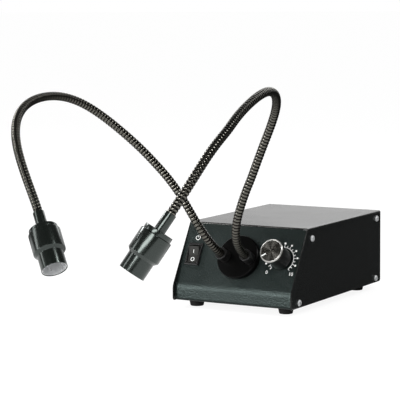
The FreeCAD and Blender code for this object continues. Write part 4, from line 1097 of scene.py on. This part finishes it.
@dataclass
class FocusingHead:
    """A turned head: ferrule, collar, barrel with a stepped nose, bright liner and lens."""

    route: NeckRoute
    ferrule: float = 4.6
    ferrule_length: float = 15.5
    ferrule_corner: float = 0.25
    hidden_length: float = 6.5
    stop_width: float = 1.4
    stop_start: float = 4.3
    collar: float = 11.7
    collar_length: float = 4.0
    collar_corner: float = 0.35
    spigot: float = 10.6
    spigot_length: float = 4.5
    barrel: float = 13.05
    barrel_length: float = 17.8
    barrel_corner: float = 0.3
    shoulder: float = 2.5
    nose: float = 10.6
    nose_length: float = 13.4
    bore: float = 10.0
    liner_wall: float = 0.5
    liner_setback: float = 0.6
    liner_corner: float = 0.1
    lens_edge: float = 2.0
    lens_crown: float = 3.0
    lens_steps: int = 12
    fit: float = 0.05

    def build(self) -> None:
        """Make the head's five pieces."""
        barrel_start = self.ferrule_length + self.collar_length
        spigot_end = barrel_start + self.spigot_length
        shoulder_start = barrel_start + self.barrel_length
        shoulder_end = shoulder_start + self.shoulder
        mouth = shoulder_end + self.nose_length
        ferrule_end = self.ferrule_length + self.hidden_length
        stop_bore = NECK_BORE - self.stop_width
        self._turn("ferrule_turned", "ferrule", [
            (NECK_BORE, 0), (self.ferrule, 0), (self.ferrule, ferrule_end), (stop_bore, ferrule_end),
            (stop_bore, self.stop_start), (NECK_BORE, self.stop_start),
        ], self.ferrule_corner)
        inner = self.ferrule + self.fit
        self._turn("collar_turned", "collar", [
            (inner, self.ferrule_length), (self.collar, self.ferrule_length), (self.collar, barrel_start),
            (self.spigot, barrel_start), (self.spigot, spigot_end), (inner, spigot_end),
        ], self.collar_corner)
        recess = self.spigot + self.fit
        self._turn("barrel_turned", "barrel", [
            (recess, barrel_start), (self.barrel, barrel_start), (self.barrel, shoulder_start),
            (self.nose, shoulder_end), (self.nose, mouth), (self.bore, mouth), (self.bore, spigot_end),
            (recess, spigot_end),
        ], self.barrel_corner)
        outer = self.bore - self.fit
        wall = outer - self.liner_wall
        liner_start = spigot_end + self.lens_edge
        liner_end = mouth - self.liner_setback
        self._turn("liner_bright", "reflector", [
            (outer, liner_start), (outer, liner_end), (wall, liner_end), (wall, liner_start),
        ], self.liner_corner, BRIGHT_ALUMINIUM, "bright_aluminium")
        rim = wall - 2 * self.fit
        ball = (rim ** 2 + self.lens_crown ** 2) / (2 * self.lens_crown)
        centre = liner_start + self.lens_crown - ball
        steps = [rim * (1 - k / self.lens_steps) for k in range(self.lens_steps + 1)]
        crown = [(r, centre + math.sqrt(ball ** 2 - r ** 2)) for r in steps]
        back = [(0, spigot_end), (outer, spigot_end), (outer, liner_start)]
        self._turn("lens_ground", "lens", back + crown, 0.0, GLASS, "lens_glass")

    def _turn(self, name: str, node: str, outline: Sequence[Point2], corner: float,
              finish: Finish = ANODISED, slot: str = "black_anodised") -> None:
        """Turn one piece of the head.

        Args:
            name: The piece's name without its side.
            node: The end of the name of the node that it replaces.
            outline: Corners in order, as (radius, distance from the neck's end).
            corner: The radius that softens each corner.
            finish: What it is made of.
            slot: The record's material slot.
        """
        side = self.route.side.value
        finished(f"{side}_{name}", lathe(outline, corner), self.route.place(self.route.length), finish,
                 side + "_head", f"{side}_head_{node}", slot)


# Dimmer and switch

class MarkShape(Enum):
    """The two kinds of mark on the dial."""

    TICK = "tick"
    DOT = "dot"


def scale_tree(shape: MarkShape, count: int, first: float, step: float, radius: float,
               size: Point2, ink: float) -> GrowthTree:
    """Make the tree that repeats a mark round the dial.

    Args:
        shape: Tick or dot.
        count: How many marks there are.
        first: The first mark's angle in radians.
        step: The angle from one mark to the next.
        radius: Where a tick starts, or a dot's centre lies.
        size: A tick's length and width, or a dot's radius twice.
        ink: How thick the ink is.

    Returns:
        The tree, in millimetres in the dial's own frame.
    """
    growth = GrowthTree("dial_" + shape.value, {
        "Count": ("Int", count),
        "First angle": ("Float", first),
        "Step angle": ("Float", step),
        "Radius": ("Float", radius),
        "Material": ("Material", WHITE_INK.material()),
    })
    given, add = growth.given, growth.add
    index = add("GeometryNodeInputIndex")
    angle = add("ShaderNodeMath", {
        "operation": "MULTIPLY_ADD", 0: index, 1: given["Step angle"], 2: given["First angle"]})
    if shape is MarkShape.TICK:
        mark = add("GeometryNodeMeshCube", {"Size": (size[0], size[1], ink)})
        reach = add("ShaderNodeMath", {"operation": "ADD", 0: given["Radius"], 1: size[0] / 2})
    else:
        mark = add("GeometryNodeMeshCylinder", {"Vertices": 24, "Radius": size[0], "Depth": ink})
        reach = given["Radius"]
    place = add("ShaderNodeCombineXYZ", {"Z": ink / 2})
    for axis, operation in (("X", "COSINE"), ("Y", "SINE")):
        share = add("ShaderNodeMath", {"operation": operation, 0: angle})
        fit_node(place, {axis: add("ShaderNodeMath", {"operation": "MULTIPLY", 0: share, 1: reach})})
    turn = add("ShaderNodeCombineXYZ", {"Z": angle})
    points = add("GeometryNodePoints", {"Count": given["Count"], "Position": place})
    growth.finish_with(add("GeometryNodeInstanceOnPoints", {
        "Points": points, "Instance": mark, "Rotation": turn}))
    return growth


def lettering(text: str, size: float, ink: float, swell: float = 0.02) -> bpy.types.Mesh:
    """Print plain characters.

    Args:
        text: The characters.
        size: The height of their line.
        ink: How thick the ink is.
        swell: How far the ink spreads past the letters' own outline.

    Returns:
        A thin mesh, centred over the local origin.
    """
    curve = bpy.data.curves.new("lettering", "FONT")
    curve.body = text
    curve.size = size
    curve.extrude = ink / 2
    curve.offset = swell
    curve.align_x = "CENTER"
    curve.align_y = "CENTER"
    mesh = settled(linked("lettering", curve))
    mesh.transform(Matrix.Translation((0, 0, ink / 2)))
    return mesh


@dataclass
class Dimmer:
    """The dimmer: a black grip with a spun metal cap, a pointer and a printed scale."""

    panel: Panel
    x: float = 41.3
    s: float = 31.3
    grip: float = 9.6
    grip_corner: float = 0.3
    cap: float = 10.75
    cap_thickness: float = 2.8
    cap_corner: float = 0.06
    cap_segments: int = 128
    height: float = 23.0
    lift: float = 1.5
    recess: float = 8.0
    recess_depth: float = 3.0
    shaft: float = 3.05
    shaft_top: float = 18.2
    chamfer: float = 0.8
    land: float = 0.35
    dish: float = 0.12
    edge_corner: float = 0.02
    edge_inset: float = 0.5
    edge_lap: float = 0.1
    edge_root: float = 0.3
    skin: float = 0.02
    pointer_angle: float = 215.0
    pointer_inner: float = 5.4
    pointer_width: float = 1.1
    pointer_drop: float = 0.1
    low_angle: float = 225.0
    sweep: float = 270.0
    major_marks: int = 11
    tick_inner: float = 11.4
    tick_length: float = 2.0
    tick_width: float = 0.55
    arc_share: float = 0.9
    arc_steps: int = 90
    dot_ring: float = 15.0
    dot_radius: float = 0.95
    numbers: Sequence[tuple[str, float]] = (("0", -12.0), ("10", 11.8))
    number_drop: float = 12.8
    number_size: float = 4.4
    ink: float = 0.04

    def build(self) -> None:
        """Make the grip, the cap and everything that is printed."""
        place = self.panel.place(self.x, self.s)
        top = self.height - self.cap_thickness
        ceiling = self.lift + self.recess_depth
        grip = lathe([
            (self.recess, self.lift), (self.grip, self.lift), (self.grip, top), (0, top),
            (0, self.shaft_top), (self.shaft, self.shaft_top), (self.shaft, ceiling), (self.recess, ceiling),
        ], self.grip_corner)
        finished("knob_grip", grip, place, BLACK_ABS, "knob", "dimmer_knob", "socket_black")
        rim = self.cap - self.chamfer
        face = self.height - self.dish
        cap = lathe([
            (0, top), (self.cap, top), (self.cap, self.height - self.chamfer), (rim, self.height),
            (rim - self.land, face), (0, face),
        ], self.cap_corner, self.cap_segments)
        finished("knob_cap_spun", cap, place, SPUN_ALUMINIUM, "knob", "knob_cap", "bright_aluminium")
        # A thin pale skin over the cap's chamfer: a painted highlight along the diamond-cut edge
        foot = self.height - self.chamfer - self.edge_lap
        edge = lathe([
            (self.cap - self.edge_inset, foot), (self.cap + self.skin, foot),
            (self.cap + self.skin, foot + self.edge_lap), (rim, self.height + self.skin),
            (rim - self.land, self.height - self.edge_lap), (rim - self.land, self.height - self.edge_root),
        ], self.edge_corner, self.cap_segments)
        finished("knob_cap_edge", edge, place, DIAMOND_CUT_PAINTED_HIGHLIGHT, "knob")
        self._pointer()
        self._scale(place)
        self._numbers()

    def _pointer(self) -> None:
        """Make the white line on the cap."""
        turn = math.radians(self.pointer_angle)
        way = Vector((math.cos(turn), math.sin(turn)))
        ends = [tuple(way * self.pointer_inner), tuple(way * (self.cap - self.chamfer))]
        line = stroke(ends, self.pointer_width, self.ink)
        place = self.panel.place(self.x, self.s, self.height - self.pointer_drop)
        finished("knob_pointer", line, place, WHITE_INK, "knob")

    def _scale(self, place: Matrix) -> None:
        """Make the ticks and the dots by rule, and the arc that joins the ticks.

        Args:
            place: The placement of the dial's middle.
        """
        step = -self.sweep / (self.major_marks - 1)
        marks = [
            (MarkShape.TICK, 2 * self.major_marks - 1, self.low_angle, step / 2, self.tick_inner,
             (self.tick_length, self.tick_width)),
            (MarkShape.DOT, self.major_marks - 2, self.low_angle + step, step, self.dot_ring,
             (self.dot_radius, self.dot_radius)),
        ]
        arc = arc_points(self.tick_inner, self.low_angle, self.low_angle - self.sweep, self.arc_steps)
        pieces = [(stroke(arc, self.tick_width * self.arc_share, self.ink), UNMOVED)]
        for shape, count, first, turn, radius, size in marks:
            tree = scale_tree(shape, count, math.radians(first), math.radians(turn), radius, size, self.ink)
            pieces.append((tree.grow(path_mesh([(0, 0, 0)])), UNMOVED))
        finished("dial_scale", joined(pieces), place, WHITE_INK, "case")

    def _numbers(self) -> None:
        """Make the plain numbers at both ends of the scale."""
        for text, x in self.numbers:
            finished("dial_number_" + text, lettering(text, self.number_size, self.ink),
                     self.panel.place(self.x + x, self.s - self.number_drop), WHITE_INK, "case")


@dataclass
class RockerSwitch:
    """The power switch: bezel, rocking paddle and its printed marks."""

    panel: Panel
    x: float = -47.0
    s: float = 30.1
    outside: Point2 = (14.0, 21.0)
    body: Point2 = (12.6, 18.8)
    body_depth: float = 15.0
    window: Point2 = (10.6, 16.6)
    window_gap: float = 0.3
    bezel: float = 2.0
    lip_height: float = 0.5
    lip_width: float = 0.8
    bezel_edge: float = 0.12
    paddle_width: float = 10.0
    paddle_radius: float = 8.0
    paddle_edge: float = 0.25
    pivot_depth: float = 1.0
    middle_height: float = 2.2
    end_height: float = 3.6
    end_reach: float = 9.0
    face_share: float = 0.92
    face_steps: int = 10
    hollow_power: float = 1.25
    shoulder_drop: float = 1.2
    shoulder_inset: float = 0.05
    floor_inset: float = 0.6
    floor: float = 3.0
    rest_tilt: float = 11.0
    marks_y: Point2 = (2.9, -4.4)
    mark_lift: float = 0.05
    mark_line: float = 0.55
    bar_length: float = 3.1
    ring_size: float = 3.7
    ring_points: int = 36
    symbol_s: float = 46.2
    symbol_radius: float = 2.1
    symbol_arc: Point2 = (125.0, 415.0)
    symbol_bar: Point2 = (0.4, 2.6)
    ink: float = 0.04

    def build(self) -> None:
        """Make the bezel, the paddle and the marks."""
        self._bezel()
        self._paddle()
        self._symbol()

    def _bezel(self) -> None:
        """Make the frame with its window, and the body behind the panel."""
        draft = bmesh.new()
        depth = self.pivot_depth + self.paddle_radius + self.window_gap
        lip = self.bezel - self.lip_height
        levels = [
            (self.window, 0, -depth), (self.window, 0, lip), (self.window, self.lip_width, self.bezel),
            (self.outside, -self.lip_width, self.bezel), (self.outside, 0, lip), (self.outside, 0, 0),
            (self.body, 0, 0), (self.body, 0, -self.body_depth),
        ]
        corners = [(-1, -1), (1, -1), (1, 1), (-1, 1)]
        rings = [[draft.verts.new((a * (w + more) / 2, b * (d + more) / 2, z)) for a, b in corners]
                 for (w, d), more, z in levels]
        for low, high in zip(rings[:-1], rings[1:]):
            for k in range(4):
                n = (k + 1) % 4
                draft.faces.new((low[k], low[n], high[n], high[k]))
        draft.faces.new(rings[0])
        draft.faces.new(rings[-1])
        soften(draft, draft.edges, self.bezel_edge, steps=2)
        finished("switch_bezel", drafted(draft, "bezel"), self.panel.place(self.x, self.s), BLACK_ABS,
                 "case", "switch_housing", "socket_black")

    def _hollow(self, y: float) -> float:
        """Return how far the paddle's face has risen from its middle at a place along it."""
        return (self.end_height - self.middle_height) * (abs(y) / self.end_reach) ** self.hollow_power

    def _paddle(self) -> None:
        """Make the paddle with its hollowed face and the two marks on it."""
        draft = bmesh.new()
        tilt = Matrix.Rotation(math.radians(self.rest_tilt), 4, "X")
        place = self.panel.place(self.x, self.s, -self.pivot_depth) @ tilt
        reach = self.paddle_radius * self.face_share
        ys = [reach * k / self.face_steps for k in range(-self.face_steps, self.face_steps + 1)]
        top = [(y, self.middle_height + self._hollow(y)) for y in ys]
        outer, shoulder = self.paddle_radius - self.shoulder_inset, self.middle_height - self.shoulder_drop
        inner = self.paddle_radius - self.floor_inset
        under = [(outer, shoulder), (inner, -self.floor), (-inner, -self.floor), (-outer, shoulder)]
        draft.faces.new([draft.verts.new((-self.paddle_width / 2, y, z)) for y, z in top + under])
        thicken(draft, (self.paddle_width, 0, 0))
        soften(draft, level_edges(draft, 0), self.paddle_edge, steps=3)
        finished("switch_paddle", drafted(draft, "paddle"), place, PADDLE_ABS_PAINTED_REFLECTION, "rocker", "switch_rocker",
                 "paddle_black")
        bar = stroke([(0, -self.bar_length / 2), (0, self.bar_length / 2)], self.mark_line, self.ink)
        last = 360 - 360 / self.ring_points
        circle = arc_points((self.ring_size - self.mark_line) / 2, 0, last, self.ring_points - 1)
        ring = stroke(circle, self.mark_line, self.ink, closed=True)
        marks = []
        for mark, y in zip((bar, ring), self.marks_y):
            slope = math.atan(self.hollow_power * self._hollow(y) / y)
            lift = Matrix.Translation((0, y, self.middle_height + self._hollow(y) + self.mark_lift))
            marks.append((mark, lift @ Matrix.Rotation(slope, 4, "X")))
        finished("switch_marks", joined(marks), place, WHITE_INK, "rocker")

    def _symbol(self) -> None:
        """Print the plain power symbol above the switch."""
        arc = arc_points(self.symbol_radius, *self.symbol_arc)
        bar = [(0, y) for y in self.symbol_bar]
        lines = [(stroke(points, self.mark_line, self.ink), UNMOVED) for points in (arc, bar)]
        finished("power_symbol", joined(lines), self.panel.place(self.x, self.symbol_s), WHITE_INK, "case")


# Case

@dataclass
class Case:
    """The folded chassis, its cover, feet and screws."""

    half_width: float = 60.0
    foot_edge: float = 0.4
    side_screws: Sequence[Point2] = ((-80.5, 11.0), (78.5, 10.5), (-55.0, 64.5), (80.0, 67.0))
    screw_turn: float = 0.6
    head_radius: float = 2.8
    head_height: float = 1.7
    head_corner: float = 0.3
    head_segments: int = 32
    dome: Sequence[Point2] = ((1.0, 0.45), (0.82, 0.85), (0.4, 1.0))
    cross_length: float = 3.4
    cross_width: float = 0.75
    cross_low: float = 0.55
    cross_high: float = 3.0
    cross_edge: float = 0.05
    cross_stagger: float = 0.001

    def build(self) -> None:
        """Dress the sheet metal and place the screw heads."""
        refined("base_chassis", CRINKLE_PAINT)
        refined("top_cover", SMOOTH_PAINT)
        refined("rubber_feet", RUBBER, self.foot_edge)
        self._cover_screws()

    def _screw_head(self) -> bpy.types.Mesh:
        """Make one pan head with a cross recess.

        Returns:
            The head, its underside on the local plane Z = 0.
        """
        dome = [(self.head_radius * r, self.head_height * h) for r, h in self.dome]
        outline = [(0, 0), (self.head_radius, 0)] + dome + [(0, self.head_height)]
        head = linked("screw_head", lathe(outline, self.head_corner, self.head_segments))
        cross = [(slab(width, depth, self.cross_low + up, self.cross_high + up, self.cross_edge), UNMOVED)
                 for width, depth, up in ((self.cross_length, self.cross_width, 0.0),
                                          (self.cross_width, self.cross_length, self.cross_stagger))]
        cutter = linked("screw_cutter", joined(cross))
        cut = head.modifiers.new("recess", "BOOLEAN")
        cut.object = cutter
        cut.operation = "DIFFERENCE"
        cut.use_self = True
        mesh = settled(head)
        bpy.data.objects.remove(cutter)
        return mesh

    def _cover_screws(self) -> None:
        """Repeat the screw head at each of the cover's screw holes."""
        head = bpy.data.objects.new("screw_model", self._screw_head())
        growth = GrowthTree("placed_screws", {
            "Head": ("Object", head),
            "Turn": ("Float", self.screw_turn),
            "Material": ("Material", ZINC.material()),
        })
        given, add = growth.given, growth.add
        model = add("GeometryNodeObjectInfo", {"Object": given["Head"]})
        index = add("GeometryNodeInputIndex")
        turn = add("ShaderNodeMath", {"operation": "MULTIPLY", 0: index, 1: given["Turn"]})
        spin = add("ShaderNodeCombineXYZ", {"Z": turn})
        growth.finish_with(add("GeometryNodeInstanceOnPoints", {
            "Points": given["Geometry"], "Instance": model.outputs["Geometry"], "Rotation": spin}))
        sides = []
        for side in (-1, 1):
            out = Vector((side, 0, 0))
            plate = placement_at(out * self.half_width, Vector((0, 1, 0)), out)
            sides.append((growth.grow(path_mesh((y, side * z, 0) for y, z in self.side_screws)), plate))
        bpy.data.objects.remove(head)
        finished("cover_screw_heads", joined(sides), UNMOVED, ZINC, "case", "cover_screws", "screw_steel")


@dataclass
class Fittings:
    """Everything else of the model, dressed as it is."""

    finishes: dict[str, Finish] = field(default_factory=lambda: {
        "port_nut": SATIN_ANODISED, "floor_screws": ZINC, "rear_screws": ZINC, "pot_nut": STEEL,
        "guide_common_end": PLAIN_ALUMINIUM, "condenser_lens": GLASS, "lens_holder": SATIN_ANODISED,
        "heat_sink": PLAIN_ALUMINIUM, "led_module": SOLDER_MASK, "fan_frame": BLACK_ABS,
        "fan_rotor": BLACK_ABS, "power_inlet": BLACK_ABS, "inlet_pins": BRASS, "fuse_holder": BLACK_ABS,
        "fuse_cap": BLACK_ABS, "driver_board": SOLDER_MASK, "board_standoffs": NYLON,
        "board_transformer": STEEL, "board_capacitors": PLAIN_ALUMINIUM, "wiring_harness": SLEEVE,
        "dimmer_pot": STEEL, "dimmer_shaft": STEEL,
    })
    softened: dict[str, float] = field(default_factory=lambda: {
        "power_inlet": 0.3, "fuse_holder": 0.2, "fuse_cap": 0.3, "rear_screws": 0.1, "floor_screws": 0.1,
        "fan_frame": 0.2, "fan_rotor": 0.0, "led_module": 0.0,
    })

    def build(self) -> None:
        """Dress each node, with softened edges where it shows."""
        for node, finish in self.finishes.items():
            if node in self.softened:
                refined(node, finish, self.softened[node])
            else:
                dress(node, finish)
        for side in Side:
            for part in ("root", "lower", "upper", "tip"):
                dress(f"{side.value}_bundle_{part}", FIBRE)


# Studio

@dataclass(frozen=True)
class Lamp:
    """A soft area lamp: its way from the object, its distance and size in metres, its power in watts."""

    name: str
    way: tuple[float, float, float]
    distance: float
    size: tuple[float, float]
    power: float


@dataclass
class Studio:
    """A pale floor and backdrop, soft lights and the camera."""

    frame_pixels: float = 400.0
    focal_pixels: float = 1780.3
    yaw: float = 30.2
    pitch: float = 6.47
    roll: float = -0.44
    shift_right: float = 74.5
    shift_up: float = -89.2
    distance: float = 1646.3
    view_depth: float = 100.0
    aim: Sequence[float] = (0.0, -0.02, 0.08)
    white: Sequence[float] = (1.0, 1.0, 1.0, 1.0)
    floor_size: float = 60.0
    floor_drop: float = 0.0003
    floor_colour: Sequence[float] = (0.86, 0.86, 0.86, 1.0)
    floor_roughness: float = 0.9
    floor_specular: float = 0.1
    floor_glow: float = 1.12
    floor_share: float = 0.8
    mirrored_near: float = 1.0
    mirrored_far: float = 0.05
    table_edge: Point2 = (-0.02, 0.08)
    room_glow: float = 0.06
    fill: float = 0.55
    backdrop_way: Sequence[float] = (-0.50, 0.86, 0.11)
    backdrop_edge: float = 0.60
    backdrop_core: float = 0.92
    lamps: Sequence[Lamp] = (
        Lamp("low_window", (-0.50, -0.86, 0.09), 1.7, (0.60, 0.30), 13.0),
        Lamp("front_right", (0.12, -0.92, 0.36), 1.7, (0.90, 0.32), 9.0),
        Lamp("left_strip", (-0.77, -0.54, 0.34), 1.5, (0.28, 0.70), 2.2),
        Lamp("left_high", (-0.80, 0.05, 0.60), 1.5, (0.25, 0.45), 9.0),
        Lamp("right_high", (0.66, -0.10, 0.74), 1.5, (0.40, 0.40), 6.0),
        Lamp("rear_soft", (-0.10, 0.88, 0.46), 1.8, (1.2, 0.5), 4.0),
    )

    def build(self) -> None:
        """Make everything that isn't the object."""
        bpy.context.scene.view_settings.view_transform = "Standard"
        self._camera()
        self._floor()
        self._world()
        for lamp in self.lamps:
            self._hang(lamp)

    def _camera(self) -> None:
        """Place the camera that a fit to the case's corners gives."""
        a, e, r = (math.radians(x) for x in (self.yaw, self.pitch, self.roll))
        back = Vector((math.sin(a) * math.cos(e), -math.cos(a) * math.cos(e), math.sin(e)))
        level = Vector((math.cos(a), math.sin(a), 0))
        up = back.cross(level)
        right = level * math.cos(r) + up * math.sin(r)
        top = up * math.cos(r) - level * math.sin(r)
        place = back * self.distance - right * self.shift_right - top * self.shift_up + CASE_OFFSET
        data = bpy.data.cameras.new("camera")
        data.lens = self.focal_pixels / self.frame_pixels * data.sensor_width
        data.clip_end = self.view_depth
        camera = linked("camera", data)
        turn = Matrix((right, top, back)).transposed().to_4x4()
        camera.matrix_world = Matrix.Translation(place * MM) @ turn
        bpy.context.scene.camera = camera

    def _floor(self) -> None:
        """Lay the floor, which keeps the object's shadow and which mirrors see as a white table."""
        half = self.floor_size / 2
        mesh = bpy.data.meshes.new("floor")
        corners = [(-half, -half, 0), (half, -half, 0), (half, half, 0), (-half, half, 0)]
        mesh.from_pydata(corners, [], [(0, 1, 2, 3)])
        floor = linked("floor", mesh)
        floor.location.z = -self.floor_drop
        paint = bpy.data.materials.new("pale_floor")
        paint.use_nodes = True
        tree = paint.node_tree
        plain = fit_node(tree.nodes["Principled BSDF"], {
            "Base Color": self.floor_colour, "Roughness": self.floor_roughness,
            "Specular IOR Level": self.floor_specular})
        glow = add_node(tree, "ShaderNodeEmission", {"Color": self.white, "Strength": self.floor_glow})
        place = add_node(tree, "ShaderNodeTexCoord")
        parts = add_node(tree, "ShaderNodeSeparateXYZ", {0: place.outputs["Object"]})
        table = add_node(tree, "ShaderNodeMapRange", {
            "Value": parts.outputs["Y"], "From Min": self.table_edge[0], "From Max": self.table_edge[1],
            "To Min": self.mirrored_near, "To Max": self.mirrored_far})
        mirror = add_node(tree, "ShaderNodeEmission", {"Color": self.white, "Strength": table})
        rays = add_node(tree, "ShaderNodeLightPath").outputs
        seen = add_node(tree, "ShaderNodeMath", {
            "operation": "MAXIMUM", 0: rays["Is Camera Ray"], 1: rays["Is Transmission Ray"]})
        share = add_node(tree, "ShaderNodeMath", {"operation": "MULTIPLY", 0: seen, 1: self.floor_share})
        shown = add_node(tree, "ShaderNodeMixShader", {0: share, 1: plain, 2: glow})
        mixed = add_node(tree, "ShaderNodeMixShader", {0: rays["Is Glossy Ray"], 1: shown, 2: mirror})
        fit_node(tree.nodes["Material Output"], {"Surface": mixed})
        mesh.materials.append(paint)
        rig.stage(floor)

    def _world(self) -> None:
        """Make the white backdrop, and a dim room on the side that mirrors see."""
        world = bpy.data.worlds.new("studio")
        world.use_nodes = True
        bpy.context.scene.world = world
        tree = world.node_tree
        soft = fit_node(tree.nodes["Background"], {"Color": self.white, "Strength": self.fill})
        white = add_node(tree, "ShaderNodeBackground", {"Color": self.white, "Strength": 1.0})
        room = add_node(tree, "ShaderNodeBackground", {"Color": self.white, "Strength": self.room_glow})
        place = add_node(tree, "ShaderNodeTexCoord")
        facing = add_node(tree, "ShaderNodeVectorMath", {
            "operation": "DOT_PRODUCT", 0: place.outputs["Generated"],
            1: Vector(self.backdrop_way).normalized()})
        backdrop = add_node(tree, "ShaderNodeMapRange", {
            "interpolation_type": "SMOOTHSTEP", "Value": facing.outputs["Value"],
            "From Min": self.backdrop_edge, "From Max": self.backdrop_core})
        mirrored = add_node(tree, "ShaderNodeMixShader", {0: backdrop, 1: room, 2: white})
        rays = add_node(tree, "ShaderNodeLightPath").outputs
        gloss = add_node(tree, "ShaderNodeMath", {
            "operation": "MAXIMUM", 0: rays["Is Glossy Ray"], 1: rays["Is Transmission Ray"]})
        unseen = add_node(tree, "ShaderNodeMixShader", {0: gloss, 1: soft, 2: mirrored})
        shown = add_node(tree, "ShaderNodeMixShader", {0: rays["Is Camera Ray"], 1: unseen, 2: white})
        fit_node(tree.nodes["World Output"], {"Surface": shown})

    def _hang(self, lamp: Lamp) -> None:
        """Hang one soft area lamp that faces the object.

        Args:
            lamp: The lamp.
        """
        data = bpy.data.lights.new(lamp.name, "AREA")
        data.shape = "RECTANGLE"
        data.size, data.size_y = lamp.size
        data.energy = lamp.power
        way = Vector(lamp.way).normalized()
        turn = way.to_track_quat("Z", "Y").to_matrix().to_4x4()
        hung = linked(lamp.name, data)
        hung.matrix_world = Matrix.Translation(Vector(self.aim) + way * lamp.distance) @ turn


LEFT_BENDS = (
    (-35, -117, 106), (-61, -122, 133), (-74, -126, 147), (-105, -143, 178), (-119, -177, 195),
    (-127, -225, 191), (-109, -269, 162), (-73, -285, 117), (-65.6, -290, 106),
)
RIGHT_BENDS = (
    (31, -125, 110), (36, -125, 118), (50, -129, 149), (73, -137, 190), (89, -188, 206),
    (91, -244, 186), (93, -262, 175), (91, -288, 161), (86, -309, 137), (75, -318.5, 116),
)


def main() -> None:
    """Build every sub-assembly in order."""
    logging.basicConfig(level=logging.INFO, format="%(name)s: %(message)s")
    Studio().build()
    panel = Panel()
    port = LightPort(panel)
    for side, bends in ((Side.LEFT, LEFT_BENDS), (Side.RIGHT, RIGHT_BENDS)):
        route = NeckRoute(side, port, bends)
        LOG.info("%s neck: %.1f mm", side.value, route.length)
        RibbedNeck(route).build()
        FocusingHead(route).build()
    port.build()
    Dimmer(panel).build()
    RockerSwitch(panel).build()
    Case().build()
    Fittings().build()
    boxes = {"cad": [list(c) for c in CAD_BOX], "visual": [list(c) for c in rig.bounds()]}
    with open(SIZE_FILE, "w", encoding="utf-8") as size_file:
        json.dump(boxes, size_file)


if __name__ == "__main__":
    main()
